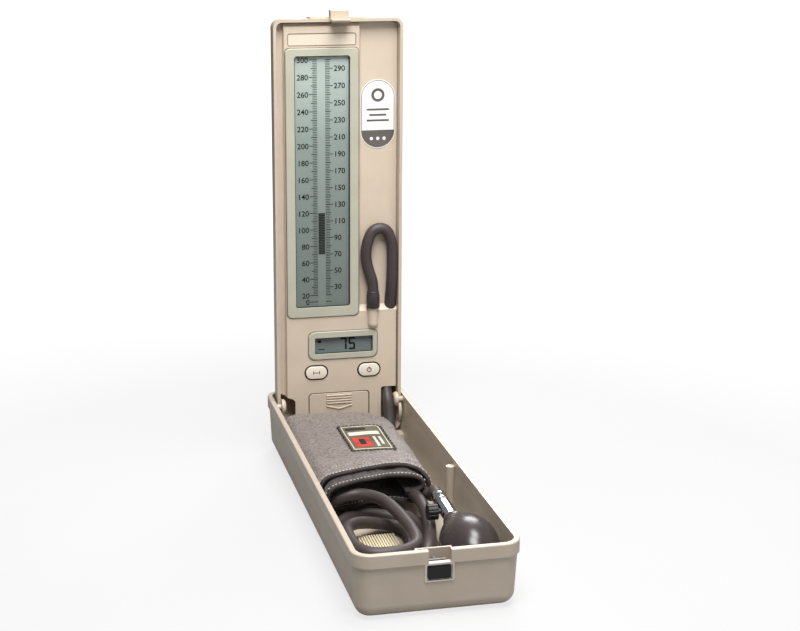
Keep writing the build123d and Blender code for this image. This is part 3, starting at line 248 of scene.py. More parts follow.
def glassOver(name, colour, clear, rough):
    # A clear pane: thin enough that only its gloss and a little tint show.
    material, nodes, links, shader, coords = startFinish(name)
    tint = noiseNode(nodes, links, coords, 20, 2)
    ramp = rampNode(nodes, links, tint.outputs["Fac"], [tone(*colour), tone(*[c + 6 for c in colour])])
    links.new(ramp.outputs["Color"], shader.inputs["Base Color"])
    addRoughness(nodes, links, shader, coords, rough, rough + 0.04)
    shader.inputs["Alpha"].default_value = clear
    material.surface_render_method = "BLENDED"
    return material


def liquidCrystal(name, low, high, colours):
    # The colour runs up the glass from its lower edge to its upper one.
    material, nodes, links, shader, coords = startFinish(name)
    split = nodes.new("ShaderNodeSeparateXYZ")
    links.new(coords, split.inputs[0])
    rise = nodes.new("ShaderNodeMapRange")
    rise.inputs["From Min"].default_value = low * mm
    rise.inputs["From Max"].default_value = high * mm
    links.new(split.outputs["Z"], rise.inputs["Value"])
    cloud = noiseNode(nodes, links, coords, 45, 3)
    sway = nodes.new("ShaderNodeMath")
    sway.operation = "MULTIPLY_ADD"
    sway.inputs[1].default_value = 0.08
    links.new(cloud.outputs["Fac"], sway.inputs[0])
    links.new(rise.outputs["Result"], sway.inputs[2])
    ramp = rampNode(nodes, links, sway.outputs[0], [tone(*colours[0]), tone(*colours[-1])], 0.04, 1.04)
    for place, colour in enumerate(colours[1:-1], 1):
        ramp.color_ramp.elements.new(0.04 + place / (len(colours) - 1)).color = tone(*colour)
    links.new(ramp.outputs["Color"], shader.inputs["Base Color"])
    addRoughness(nodes, links, shader, coords, 0.3, 0.36)
    return material


finishes["clearPane"] = glassOver("clearPane", (22, 26, 26), 0.1, 0.05)
crystalLooks = {
    "scaleCrystal": (118, 318, [(128, 138, 132), (142, 153, 147), (164, 178, 171), (208, 223, 214)]),
    "stripCrystal": (118, 318, [(138, 147, 141), (150, 161, 155), (172, 185, 178), (214, 229, 220)]),
    "pulseCrystal": (81, 95, [(130, 146, 144), (128, 138, 138), (116, 119, 126)]),
}
for name, (low, high, colours) in crystalLooks.items():
    finishes[name] = liquidCrystal(name, low, high, colours)
print("finishes made:", len(finishes))


def finish(obj, name):
    obj.data.materials.clear()
    obj.data.materials.append(finishes[name])


# Each CAD node that stays in sight or inside, with its finish and its slot
nodeFinishes = {
    "case_shell": ("casePlastic", "case"),
    "rubber_feet": ("feetRubber", "feet"),
    "hinge_pins": ("lidPlastic", "pins"),
    "latch_frame": ("frameMetal", "latch_metal"),
    "latch_button": ("blackPlastic", "latch_black"),
    "latch_catch": ("steelMetal", "steel"),
    "lid_shell": ("lidPlastic", "case"),
    "panel_screws": ("steelMetal", "steel"),
    "instrument_panel": ("panelPlastic", "panel"),
    "serial_plate": ("platePlastic", "plate"),
    "column_badge": ("badgeWhite", "badge"),
    "lcd_bezel": ("bezelPlastic", "bezel"),
    "lcd_window": ("clearPane", "window"),
    "lcd_display": ("scaleCrystal", "lcd"),
    "pulse_bezel": ("bezelPlastic", "bezel"),
    "pulse_window": ("clearPane", "window"),
    "pulse_display": ("pulseCrystal", "lcd"),
    "dome_switches": ("steelMetal", "steel"),
    "circuit_board": ("boardLaminate", "board"),
    "board_screws": ("steelMetal", "steel"),
    "pressure_sensor": ("blackPlastic", "sensor"),
    "buzzer": ("blackPlastic", "sensor"),
    "battery_tray": ("trayPlastic", "sensor"),
    "batteries": ("steelMetal", "cells"),
    "battery_contacts": ("brassMetal", "steel"),
    "hose_nipple": ("panelPlastic", "nipple"),
    "inlet_valve": ("chromeMetal", "chrome"),
    "valve_screw": ("knobPlastic", "knob"),
}
for node, (finishName, slot) in nodeFinishes.items():
    finish(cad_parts[node], finishName)
print("nodes finished:", len(nodeFinishes))


def outward(shape):
    bmesh.ops.recalc_face_normals(shape, faces=shape.faces[:])


def moveBy(shape, matrix):
    bmesh.ops.transform(shape, matrix=matrix, verts=shape.verts[:])


def thicken(shape, step):
    # Pulls the faces out by a step, in metres, and leaves walls behind them.
    raised = bmesh.ops.extrude_face_region(shape, geom=shape.faces[:])["geom"]
    corners = [item for item in raised if isinstance(item, bmesh.types.BMVert)]
    bmesh.ops.translate(shape, vec=step, verts=corners)


def fixedOrder(shape):
    # Points and faces sorted by place, so that the cloth starts from the same mesh at each run.
    shape.verts.index_update()
    places = [tuple(v.co) for v in shape.verts]
    order = sorted(range(len(places)), key=places.__getitem__)
    rank = {old: new for new, old in enumerate(order)}
    faces = []
    for face in shape.faces:
        corners = [rank[v.index] for v in face.verts]
        first = corners.index(min(corners))
        faces.append(corners[first:] + corners[:first])
    return [places[k] for k in order], [], sorted(faces)


def keep(name, shape, finishName, body, replaced=(), smooth=True):
    # Makes an object of a bmesh, in its place. It rides on a body, when one is given.
    mesh = bpy.data.meshes.new(name)
    mesh.from_pydata(*fixedOrder(shape))
    shape.free()
    obj = inScene(name, mesh)
    for face in mesh.polygons:
        face.use_smooth = smooth
    finish(obj, finishName)
    if body:
        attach(obj, body)
    if replaced:
        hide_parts(*replaced)
    return obj


def bevelEdges(shape, edges, offset, segments=2):
    bmesh.ops.bevel(
        shape, geom=edges, offset=offset, offset_type="OFFSET", affect="EDGES", segments=segments,
        profile=0.5, material=-1, clamp_overlap=True,
    )


def spun(profile, start, along, steps=64):
    # Turns an outline of (distance from the axis, distance along it), in millimetres, about a line.
    shape = bmesh.new()
    verts = [shape.verts.new((radius * mm, 0, reach * mm)) for radius, reach in profile]
    edges = [shape.edges.new(pair) for pair in zip(verts, verts[1:])]
    bmesh.ops.spin(
        shape, geom=verts + edges, cent=(0, 0, 0), axis=(0, 0, 1), angle=2 * pi, steps=steps, use_merge=True
    )
    bmesh.ops.remove_doubles(shape, verts=shape.verts[:], dist=0.002 * mm)
    outward(shape)
    turn = Vector(along).to_track_quat("Z", "Y").to_matrix().to_4x4()
    moveBy(shape, Matrix.Translation(Vector(start) * mm) @ turn)
    return shape


def roundPlate(centre, size, corner, front, back, edge=0.0):
    # A plate that faces the reader of the open lid, with round corners and a softened front edge.
    shape = bmesh.new()
    bmesh.ops.create_grid(shape, x_segments=1, y_segments=1, size=0.5)
    bmesh.ops.scale(shape, vec=(size[0] * mm, size[1] * mm, 1), verts=shape.verts[:])
    if corner:
        bmesh.ops.bevel(
            shape, geom=shape.verts[:], offset=corner * mm, offset_type="OFFSET", affect="VERTICES",
            segments=8, profile=0.5, material=-1,
        )
    thicken(shape, (0, 0, (front - back) * mm))
    if edge:
        rim = [e for e in shape.edges if all(abs(v.co.z) > 1e-7 for v in e.verts)]
        bevelEdges(shape, rim, edge * mm, 3)
    stand = Matrix(((1, 0, 0, centre[0] * mm), (0, 0, 1, back * mm), (0, 1, 0, centre[1] * mm), (0, 0, 0, 1)))
    moveBy(shape, stand)
    outward(shape)
    return shape


def joined(*shapes):
    whole = shapes[0]
    for shape in shapes[1:]:
        extra = bpy.data.meshes.new("extra")
        shape.to_mesh(extra)
        shape.free()
        whole.from_mesh(extra)
        bpy.data.meshes.remove(extra)
    return whole


def flatPiece(name, shapes, finishName, body):
    keep(name, joined(*shapes), finishName, body, smooth=False)


def shapeOf(holder):
    # The shape of a curve or a text, which is removed.
    bpy.context.view_layer.update()
    mesh = bpy.data.meshes.new_from_object(holder.evaluated_get(bpy.context.evaluated_depsgraph_get()))
    bpy.data.objects.remove(holder)
    shape = bmesh.new()
    shape.from_mesh(mesh)
    bpy.data.meshes.remove(mesh)
    return shape


def mark(low, high, front, back):
    # A printed mark: a thin plate from one corner, X and Z, to the other.
    centre = [(a + b) / 2 for a, b in zip(low, high)]
    return roundPlate(centre, [b - a for a, b in zip(low, high)], 0, front, back)


def number(text, height, place, align, front, back):
    # A printed number, standing on its place's Z.
    letters = bpy.data.curves.new("number", "FONT")
    letters.body = text
    letters.size = height * 1.38
    letters.offset = height * 0.022
    letters.align_x = align
    letters.extrude = (back - front) / 2
    letters.resolution_u = 3
    shape = shapeOf(inScene("number", letters))
    middle = (front + back) / 2 * mm
    stand = Matrix(((mm, 0, 0, place[0] * mm), (0, 0, -mm, middle), (0, mm, 0, place[1] * mm), (0, 0, 0, 1)))
    moveBy(shape, stand)
    return shape


# Pressure scale on the tall display, in millimetres of mercury
scaleLook = {
    "left": -34.05, "zero": 123.9, "twenty": 129.1, "perTwenty": 13.1, "digits": 4.3, "stroke": (0.4, 0.56),
    "front": 144.54, "back": 144.6, "inner": (17.9, 24.2), "short": (14.4, 27.7), "odd": (13.2, 30.1),
    "even": (11.7, 28.6), "numbers": (11.2, 30.8), "strip": (18.0, 24.1), "stripHeights": (120.2, 315.5),
    "stripFront": 144.585, "bar": (70, 120), "barSides": (18.5, 23.7), "barDepths": (144.52, 144.58), "barGap": 0.07,
}


def scaleHeight(pressure):
    if pressure < 20:
        return scaleLook["zero"] + (scaleLook["twenty"] - scaleLook["zero"]) * pressure / 20
    return scaleLook["twenty"] + scaleLook["perTwenty"] * (pressure - 20) / 20


left, front, back = scaleLook["left"], scaleLook["front"], scaleLook["back"]
prints = []
for pressure in range(0, 301, 2):
    if 0 < pressure < 20:
        continue
    height = scaleHeight(pressure)
    half = scaleLook["stroke"][pressure % 10 == 0] / 2
    starts = scaleLook[{0: "even", 10: "odd"}.get(pressure % 20, "short")]
    inner = scaleLook["inner"]
    prints.append(mark((left + starts[0], height - half), (left + inner[0], height + half), front, back))
    prints.append(mark((left + inner[1], height - half), (left + starts[1], height + half), front, back))
    low = height - scaleLook["digits"] / 2
    if pressure % 20 == 0:
        place = (left + scaleLook["numbers"][0], low)
        prints.append(number(str(pressure), scaleLook["digits"], place, "RIGHT", front, back))
    if pressure % 20 == 10 and pressure > 20:
        place = (left + scaleLook["numbers"][1], low)
        prints.append(number(str(pressure), scaleLook["digits"], place, "LEFT", front, back))
flatPiece("scalePrint", prints, "inkAndShadeBlack", "lid")
(x0, x1), (low, high) = scaleLook["strip"], scaleLook["stripHeights"]
strip = mark((left + x0, low), (left + x1, high), scaleLook["stripFront"], back)
flatPiece("scaleStrip", [strip], "stripCrystal", "lid")
x0, x1 = scaleLook["barSides"]
cells = []
for pressure in range(scaleLook["bar"][0], scaleLook["bar"][1], 2):
    low, high = scaleHeight(pressure) + scaleLook["barGap"], scaleHeight(pressure + 2) - scaleLook["barGap"]
    cells.append(mark((left + x0, low), (left + x1, high), *scaleLook["barDepths"]))
flatPiece("pressureBar", cells, "barGrey", "lid")

# Pulse display: two seven-segment figures, a heart and a cell sign
pulseLook = {"figures": "75", "left": 1.3, "low": 83.5, "size": (5.4, 10.2), "stroke": 1.5, "pitch": 6.8}
segments = {"7": "abc", "5": "afgcd"}


def figure(sign, left, low):
    width, height = pulseLook["size"]
    thick = pulseLook["stroke"]
    middle, top, right = low + height / 2, low + height, left + width
    bars = {
        "a": ((left + 0.3, top - thick), (right - 0.3, top)),
        "b": ((right - thick, middle + 0.15), (right, top - 0.5)),
        "c": ((right - thick, low + 0.5), (right, middle - 0.15)),
        "d": ((left + 0.3, low), (right - 0.3, low + thick)),
        "f": ((left, middle + 0.15), (left + thick, top - 0.5)),
        "g": ((left + 0.6, middle - thick / 2), (right - 0.6, middle + thick / 2)),
    }
    return [mark(*bars[name], front, back) for name in segments[sign]]


prints = []
for place, sign in enumerate(pulseLook["figures"]):
    prints += figure(sign, pulseLook["left"] + place * pulseLook["pitch"], pulseLook["low"])
for x in (-16.0, -14.6):
    prints.append(roundPlate((x, 91.6), (1.7, 1.7), 0.8, front, back))
prints.append(roundPlate((-15.3, 90.9), (1.9, 1.5), 0.4, front, back))
for x in (-16.4, -14.6, -12.8):
    prints.append(mark((x, 84.3), (x + 1.4, 85.3), front, back))
flatPiece("pulsePrint", prints, "inkAndShadeBlack", "lid")


def ringPlate(centre, size, corner, wide, front, back):
    # A flat ring with round corners, its outer edge at the size given.
    shape = bmesh.new()
    loops = []
    for inset, y in ((0, back), (0, front), (wide, front), (wide, back)):
        loop = []
        radius = max(corner - inset, 0.05)
        halfX, halfZ = size[0] / 2 - inset - radius, size[1] / 2 - inset - radius
        for side, (sx, sz) in enumerate(((1, 1), (-1, 1), (-1, -1), (1, -1))):
            for k in range(9):
                angle = pi / 2 * (side + k / 8)
                x, z = centre[0] + sx * halfX + radius * cos(angle), centre[1] + sz * halfZ + radius * sin(angle)
                loop.append(shape.verts.new((x * mm, y * mm, z * mm)))
        loops.append(loop)
    for near, far in zip(loops, loops[1:] + loops[:1]):
        for k in range(len(near)):
            after = (k + 1) % len(near)
            shape.faces.new((near[k], near[after], far[after], far[k]))
    outward(shape)
    return shape


# Dark rings round the windows, painted shade inside their edges, and thin lines round the bezels and the plate, painted
# shadow lines: centre, size, corner, width, depths
windowShadeRings = [
    ((-12.55, 217.8), (43.0, 195.8), 1.2, 0.7, 143.36, 143.46), ((3.9, 88.3), (46.6, 13.4), 1.0, 0.6, 143.36, 143.46),
]
shadeRings = [
    ((-12.55, 216.8), (57.5, 210.2), 3.4, 0.5, 142.42, 142.5), ((3.2, 88.5), (56.2, 23.6), 4.6, 0.5, 142.42, 142.5),
    ((-12.5, 327.9), (52.6, 9.4), 1.7, 0.5, 142.4, 142.5),
]
flatPiece("windowShade", [ringPlate(*ring) for ring in windowShadeRings], "inkAndShadeBlack", "lid")
flatPiece("bezelShade", [ringPlate(*ring) for ring in shadeRings], "shadeLine", "lid")
print("displays printed")

# Keys: rounded caps a little smaller than their holes, each with a plain sign and a dark ring round it, painted shade
# in the gap
keyLook = {
    "size": (16.8, 10.0), "front": 141.3, "back": 145.0, "edge": 0.9, "ring": ((19.2, 12.4), 6.15, 0.95, 142.4, 142.5),
    "sign": ((3.9, 3.9), 1.93, 0.6, 141.22, 141.3),
}
keyCentres = {"marker": (-18.3, 66.7), "power": (24.2, 66.7)}
for name, centre in keyCentres.items():
    cap = roundPlate(centre, keyLook["size"], keyLook["size"][1] / 2 - 0.02, keyLook["front"], keyLook["back"],
                     keyLook["edge"])
    keep(name + "Cap", cap, "keyPlastic", name + "_key", [name + "_button"])
    # The dark ring round the cap is painted shade in the gap round the key
    flatPiece(name + "Ring", [ringPlate(centre, *keyLook["ring"])], "inkAndShadeBlack", "lid")
x, z = keyCentres["power"]
flatPiece("powerSign", [ringPlate((x, z), *keyLook["sign"])], "inkAndShadeBlack", "power_key")
stroke = mark((x - 0.28, z + 0.1), (x + 0.28, z + 2.5), 141.2, 141.3)
flatPiece("powerStroke", [stroke], "inkAndShadeBlack", "power_key")
x, z = keyCentres["marker"]
signs = [mark((x - 2.4, z - 0.24), (x + 2.4, z + 0.24), 141.24, 141.3)]
signs += [mark((x + dx - 0.24, z - 1.5), (x + dx + 0.24, z + 1.5), 141.24, 141.3) for dx in (-2.4, 2.4)]
flatPiece("markerSign", signs, "inkAndShadeBlack", "marker_key")

# Battery cover: a plate with a groove round it, four grip ribs and an arrow that shows the way it slides; a dark ring
# behind the cover is painted shade in the groove
coverLook = {
    "size": (47.9, 26.2), "centre": (0.0, 35.6), "corner": 2.6, "front": 142.5, "back": 144.0, "edge": 0.35,
    "rib": ((20.6, 1.0), 0.3, 141.75, 142.7, 0.3), "ribHeight": 46.7, "ribPitch": 2.1,
    "arm": ((10.9, 1.0), 0.3, 141.75, 142.7, 0.3), "armPlace": (5.2, 36.9), "armLean": 15.2,
    "grooveShade": ((50.2, 28.0), 3.6, 1.3, 144.02, 144.09),
}
cover = roundPlate(coverLook["centre"], coverLook["size"], coverLook["corner"], coverLook["front"],
                   coverLook["back"], coverLook["edge"])
ribs = [roundPlate((0, coverLook["ribHeight"] - k * coverLook["ribPitch"]), *coverLook["rib"]) for k in range(4)]
x, z = coverLook["armPlace"]
for side in (-1, 1):
    arm = roundPlate((0, 0), *coverLook["arm"])
    turn = Matrix.Rotation(side * radians(-coverLook["armLean"]), 4, "Y")
    lean = Matrix.Translation((side * x * mm, 0, z * mm)) @ turn
    moveBy(arm, lean)
    ribs.append(arm)
keep("batteryCover", joined(cover, *ribs), "panelPlastic", "battery_door", ["battery_cover"], smooth=False)
# A dark ring behind the cover's edge: painted shade in the groove
grooveShade = ringPlate(coverLook["centre"], *coverLook["grooveShade"])
flatPiece("coverGrooveShade", [grooveShade], "shadeLine", "lid")
print("keys and cover shaped")

# Badge on the column: a pale oval with a dark rim line, a dark lower end and plain signs
badgeLook = {
    "centre": (31.7, 270.0), "size": (26.2, 51.8), "rim": 1.0, "split": 257.5, "back": 146.7,
    "fronts": (146.66, 146.62, 146.58, 146.54), "eyeHeight": 284.5, "eye": ((10.4, 10.4), 5.18),
    "pupil": ((6.2, 6.2), 3.08), "lines": (17.6, 13.4, 17.6), "lineHeight": 273.4, "linePitch": 4.2,
    "lineTall": 1.5, "lineCorner": 0.5, "dot": ((2.6, 2.6), 1.28), "dotHeight": 251.0, "dotPitch": 5.0,
}


def ovalPart(size, low, high, front, back):
    # The piece of the badge's oval between two heights.
    (x, z), (wide, tall) = badgeLook["centre"], size
    radius, straight = wide / 2, tall / 2 - wide / 2
    edge = []
    for k in range(97):
        angle = pi * k / 96
        for side in (1, -1):
            edge.append((x + side * radius * cos(angle), z + side * (straight + radius * sin(angle))))
    ring = sorted({(round(a, 4), round(b, 4)) for a, b in edge if low <= b <= high})
    shape = bmesh.new()
    middle = (sum(p[0] for p in ring) / len(ring), sum(p[1] for p in ring) / len(ring))
    across = sqrt(max(0.0, radius**2 - max(0.0, abs(high - z) - straight) ** 2))
    if high < z + tall / 2:
        ring += [(x - across, high), (x + across, high)]
    ring.sort(key=lambda p: atan2(p[1] - middle[1], p[0] - middle[0]))
    shape.faces.new([shape.verts.new((a * mm, back * mm, b * mm)) for a, b in ring])
    thicken(shape, (0, (front - back) * mm, 0))
    outward(shape)
    return shape


x = badgeLook["centre"][0]
whole = [0, 999]
inner = [side - badgeLook["rim"] for side in badgeLook["size"]]
rimDepths, faceDepths, markDepths, eyeDepths = [(front, badgeLook["back"]) for front in badgeLook["fronts"]]
flatPiece("badgeRim", [ovalPart(badgeLook["size"], *whole, *rimDepths)], "badgeGrey", "lid")
flatPiece("badgeFace", [ovalPart(inner, *whole, *faceDepths)], "badgeWhite", "lid")
bands = [ovalPart(inner, 0, badgeLook["split"], *markDepths)]
bands.append(roundPlate((x, badgeLook["eyeHeight"]), *badgeLook["eye"], *markDepths))
for k, across in enumerate(badgeLook["lines"]):
    place = (x, badgeLook["lineHeight"] - k * badgeLook["linePitch"])
    bands.append(roundPlate(place, (across, badgeLook["lineTall"]), badgeLook["lineCorner"], *markDepths))
flatPiece("badgeMarks", bands, "badgeGrey", "lid")
lights = [roundPlate((x, badgeLook["eyeHeight"]), *badgeLook["pupil"], *eyeDepths)]
for k in (-1, 0, 1):
    place = (x + k * badgeLook["dotPitch"], badgeLook["dotHeight"])
    lights.append(roundPlate(place, *badgeLook["dot"], *eyeDepths))
flatPiece("badgeEyes", lights, "badgeWhite", "lid")
print("badge laid")

# Hoses: the corners of their straight runs, as the case and the lid lead them
hoseLook = {"radius": 4.3, "order": 3, "around": 8, "steps": 10}
lidCourse = [
    (27.2, 141.6, 131.3), (27.2, 141.6, 138.5), (23.6, 142.1, 148), (21.2, 142.4, 159.5), (22.6, 142.4, 171),
    (27.5, 142.4, 181), (37.8, 142.4, 181), (42.4, 142.4, 170.5), (42.7, 142.4, 155), (42.5, 142.7, 139),
    (42.3, 146.2, 121), (42.2, 150.2, 104), (41.6, 151.5, 84), (40.2, 151.2, 64), (39.3, 148.8, 49.8),
    (39.3, 140, 41),
]
caseCourse = [
    (39.4, 138.4, 36.6), (39.6, 134.5, 24), (39, 124, 12.5), (34, 108, 8.1), (21, 84, 8.1), (0, 62, 8.1),
    (-20, 36, 8.1), (-36, 10, 9.5), (-43, -6.5, 15), (-39, -17.6, 21.5), (-27.5, -17.4, 25.5),
    (-16, -20, 26.3), (-5, -33, 26.6), (-0.5, -56, 26.7), (1.8, -83, 26.7), (1.5, -110, 26.7),
    (-6, -123, 26.7), (-22, -127, 26.7), (-36, -124, 26.7), (-42, -110, 26.7), (-41, -84, 24.5),
    (-37.5, -63.5, 20.5), (-28, -50, 17.6), (-15, -42, 13.5), (0, -38.5, 9), (8.2, -47, 8.1),
    (8.6, -66, 8.1), (-1, -88, 8.1), (-12, -110, 8.1), (-12.5, -130, 8.1), (-4, -142.5, 8.1),
    (8.5, -142.5, 8.1), (16.5, -131, 8.1), (18.2, -113, 8.1), (18.5, -92, 8.1), (21, -66, 8.1),
    (21.5, -42, 8.1), (15, -26, 8.1), (3.1, -21, 8.1), (-10, -12.3, 8.1), (-24, -14, 8.1),
    (-36, -27, 8.1), (-43.5, -48, 8.1), (-44.8, -78, 8.1), (-44.2, -112, 8.1), (-42.5, -140, 8.3),
    (-34, -154, 11), (-21, -156.5, 13.5), (-9, -146, 17.4), (2, -124, 17.4), (12, -98, 17.4),
    (19.5, -72, 17.4), (24, -46, 17.6), (24.6, -24, 19.6), (22.4, -8, 20), (21.8, 9.5, 20),
]
bulbCourse = [
    (29.68, -52.12, 33.45), (29.53, -44.14, 34.05), (31.2, -36.5, 31.2), (33.5, -28, 24.8),
    (33.6, -18, 19.8), (32, -5, 19), (31.4, 9.5, 19),
]


def softLine(name, course, radius, steps):
    curve = bpy.data.curves.new(name, "CURVE")
    curve.dimensions = "3D"
    curve.bevel_depth = radius * mm
    curve.bevel_resolution = hoseLook["around"]
    curve.resolution_u = steps
    curve.use_fill_caps = True
    line = curve.splines.new("NURBS")
    line.points.add(len(course) - 1)
    for point, place in zip(line.points, course):
        point.co = (*inMetres(place), 1)
    line.order_u = hoseLook["order"]
    line.use_endpoint_u = True
    return inScene(name, curve)


def hose(name, course, body, replaced):
    obj = softLine(name, course, hoseLook["radius"], hoseLook["steps"])
    finish(obj, "hoseRubber")
    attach(obj, body)
    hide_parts(replaced)
    return obj


lidHose = hose("lidHose", lidCourse, "lid", "lid_hose")
caseHose = hose("caseHose", caseCourse, "case", "manometer_hose")
bulbHose = hose("bulbHose", bulbCourse, "case", "bulb_hose")


def tube(name, course, radius, steps=6):
    # A mesh tube, for the hose's part at the hinge, for the latch spring and for the hems' tape.
    shape = shapeOf(softLine(name, course, radius, steps))
    bmesh.ops.remove_doubles(shape, verts=shape.verts[:], dist=0.001 * mm)
    outward(shape)
    return shape


# The hose's part at the hinge, a little wider than the two ends that it covers
bendRadius = 4.42
bendCourse = [(39.3, 146.4, 47.4), (39.3, 143.2, 44.2), (39.3, 140.0, 41.0), (39.4, 138.4, 36.6), (39.5, 136.6, 30.6)]
hoseBend = keep("hoseBend", tube("hoseBend", bendCourse, bendRadius), "hoseRubber", None)
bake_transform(hoseBend)
print("hoses led")

# Spring behind the latch catch, wound in the CAD spring's place
springLook = {"turns": 4, "wire": 0.3, "parts": 12, "travel": 1.5}
springLow, springHigh = [[c / mm for c in corner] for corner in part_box("latch_spring")]
springMiddle = [(a + b) / 2 for a, b in zip(springLow, springHigh)]
springWide = (springHigh[0] - springLow[0]) / 2 - springLook["wire"]
springLong = springHigh[1] - springLow[1]
springCourse = []
for k in range(springLook["turns"] * springLook["parts"] + 1):
    angle = 2 * pi * k / springLook["parts"]
    share = k / (springLook["turns"] * springLook["parts"])
    y = springLow[1] + springLook["wire"] + (springLong - 2 * springLook["wire"]) * share
    springCourse.append((springMiddle[0] + springWide * cos(angle), y, springMiddle[2] + springWide * sin(angle)))
spring = tube("latchSpring", springCourse, springLook["wire"], 2)
latchSpring = keep("latchSpring", spring, "steelMetal", "case", ["latch_spring"])
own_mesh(latchSpring)
print("spring wound")

# Sleeve over the nipple: a thicker end with a soft lip
nippleX, nippleY, sleeveLow = 27.2, 141.6, 117.75
sleeveProfile = [
    (2.4, 0.0), (4.9, 0.0), (5.2, 0.4), (5.2, 9.6), (5.0, 10.6), (4.75, 11.6), (4.75, 12.8), (4.6, 13.3),
    (4.32, 13.45), (2.4, 13.45), (2.4, 0.0),
]
keep("hoseSleeve", spun(sleeveProfile, (nippleX, nippleY, sleeveLow), (0, 0, 1)), "sleeveRubber", "lid",
     ["hose_sleeve"])

# Bulb, its valve and its coupler, turned about the bulb's own line
bulbLook = {"centre": (31.1, -124.0, 28.0), "heading": (-1.3, 66.0, 5.0)}
bulbWay = Vector(bulbLook["heading"]).normalized()
bulbCentre = Vector(bulbLook["centre"])
bulbProfile = [
    (2.2, -27.9), (2.2, -30.2), (3.0, -30.6), (4.6, -30.5), (7.4, -29.2), (10.6, -26.8), (13.6, -23.4), (16.2, -18.8),
    (18.1, -13.4), (19.2, -7.6), (19.42, -4.2), (19.35, -1.2), (18.7, 3.2), (17.4, 8.2), (15.2, 13.8),
    (12.6, 19.0), (10.2, 23.2), (8.5, 26.6), (7.7, 28.8), (7.35, 30.6), (7.5, 31.4), (7.5, 32.6), (7.0, 33.2),
    (3.5, 33.25), (3.5, 27.0), (2.2, -27.9),
]
keep("airBulb", spun(bulbProfile, bulbCentre, bulbWay, 96), "bulbRubber", "case", ["bulb"])

valveProfile = [
    (1.25, 26.4), (3.3, 26.4), (3.3, 33.3), (6.0, 33.35), (6.25, 33.7), (6.25, 35.3), (5.9, 35.9), (4.9, 36.6),
    (4.3, 37.2), (4.2, 40.0), (4.2, 59.6), (4.6, 60.0), (4.6, 60.2), (3.0, 60.3), (3.0, 67.2), (1.25, 67.3),
    (1.25, 26.4),
]
keep("valveBody", spun(valveProfile, bulbCentre, bulbWay, 48), "chromeMetal", "case", ["valve_body"])
barrelProfile = [
    (3.9, 37.6), (4.9, 37.8), (5.5, 38.5), (5.5, 42.6), (5.1, 43.0), (5.1, 43.6), (5.5, 44.0), (5.5, 56.9), (5.0, 57.8),
    (3.9, 58.0), (3.9, 37.6),
]
keep("valveBarrel", spun(barrelProfile, bulbCentre, bulbWay, 11), "chromeMetal", "case", smooth=False)

couplerProfile = [
    (3.1, 60.5), (4.9, 60.5), (5.2, 60.9), (5.2, 63.2), (4.8, 63.6), (4.8, 64.4), (5.2, 64.8), (5.2, 71.3), (4.9, 71.9),
    (3.1, 71.9), (3.1, 60.5),
]
keep("hoseCoupler", spun(couplerProfile, bulbCentre, bulbWay, 48), "chromeMetal", "case", ["hose_coupler"])
print("bulb and valve turned")


# Cuff: a band of padded nylon folded over itself; its section is X and Z, its ends run askew
cuffLook = {
    "outer": [
        (-46.4, 12.0), (-46.8, 22.0), (-46.6, 31.0), (-45.2, 36.4), (-41.2, 39.0), (-34.0, 39.5), (-20.0, 39.5),
        (-6.0, 39.5), (6.0, 39.5), (14.5, 39.0), (21.5, 37.6), (28.0, 35.2), (32.8, 31.4), (35.0, 26.0),
        (34.8, 20.0), (32.6, 15.6), (27.0, 14.4), (20.0, 14.6),
    ],
    "inner": [
        (17.0, 22.0), (24.0, 22.6), (29.2, 25.6), (28.8, 30.2), (23.8, 33.0), (16.6, 34.6), (8.0, 35.4), (-6.0, 35.6),
        (-20.0, 35.6), (-33.0, 35.2), (-40.6, 33.6), (-43.0, 28.4), (-43.2, 20.0),
    ],
    "under": [
        (-43.4, 17.0), (-40.0, 13.6), (-30.0, 13.0), (-16.0, 13.6), (-2.0, 15.0), (10.0, 14.4), (20.0, 12.4),
        (29.0, 12.2),
    ],
    "front": [
        (-48.7, -21.0), (-40.0, -16.5), (-30.0, -12.0), (-14.0, -7.0), (4.0, -2.5), (20.0, -1.5), (30.0, -4.5),
        (36.0, -10.0),
    ],
    "innerFront": [(-48.7, -31.0), (-34.0, -24.0), (-14.0, -17.5), (4.0, -13.0), (20.0, -12.5), (34.0, -14.0)],
    "underFront": [(-48.7, -16.0), (-20.0, -9.0), (0.0, -5.0), (30.0, -7.0)],
    "back": [(-48.7, 122.0), (10.0, 117.0), (36.0, 110.0)],
    "thickness": 2.8,
    "across": 110,
    "along": 64,
    "pressure": 4.0,
    "growth": -0.03,
    "steps": 20,
    "cap": 0.9,
}


def between(points, value):
    # The second coordinate at a value of the first, on a line through points.
    for (a, low), (b, high) in zip(points, points[1:]):
        if value <= b:
            share = max(0.0, (value - a) / (b - a))
            return low + (high - low) * share
    return points[-1][1]


def smoothCourse(points, count):
    # Evenly spaced places on a soft line through the points, by their lengths.
    places = [Vector(p) for p in points]
    places = [2 * places[0] - places[1], *places, 2 * places[-1] - places[-2]]
    fine = []
    for a, b, c, d in zip(places, places[1:], places[2:], places[3:]):
        for k in range(16):
            t = k / 16
            square, cube = 2 * a - 5 * b + 4 * c - d, 3 * b - a - 3 * c + d
            fine.append(0.5 * ((2 * b) + (c - a) * t + square * t**2 + cube * t**3))
    fine.append(places[-2])
    lengths = [0.0]
    for a, b in zip(fine, fine[1:]):
        lengths.append(lengths[-1] + (b - a).length)
    out, at = [], 0
    for k in range(count):
        goal = lengths[-1] * k / (count - 1)
        while at < len(fine) - 2 and lengths[at + 1] < goal:
            at += 1
        share = (goal - lengths[at]) / max(lengths[at + 1] - lengths[at], 1e-9)
        out.append(fine[at].lerp(fine[at + 1], min(share, 1.0)))
    return out


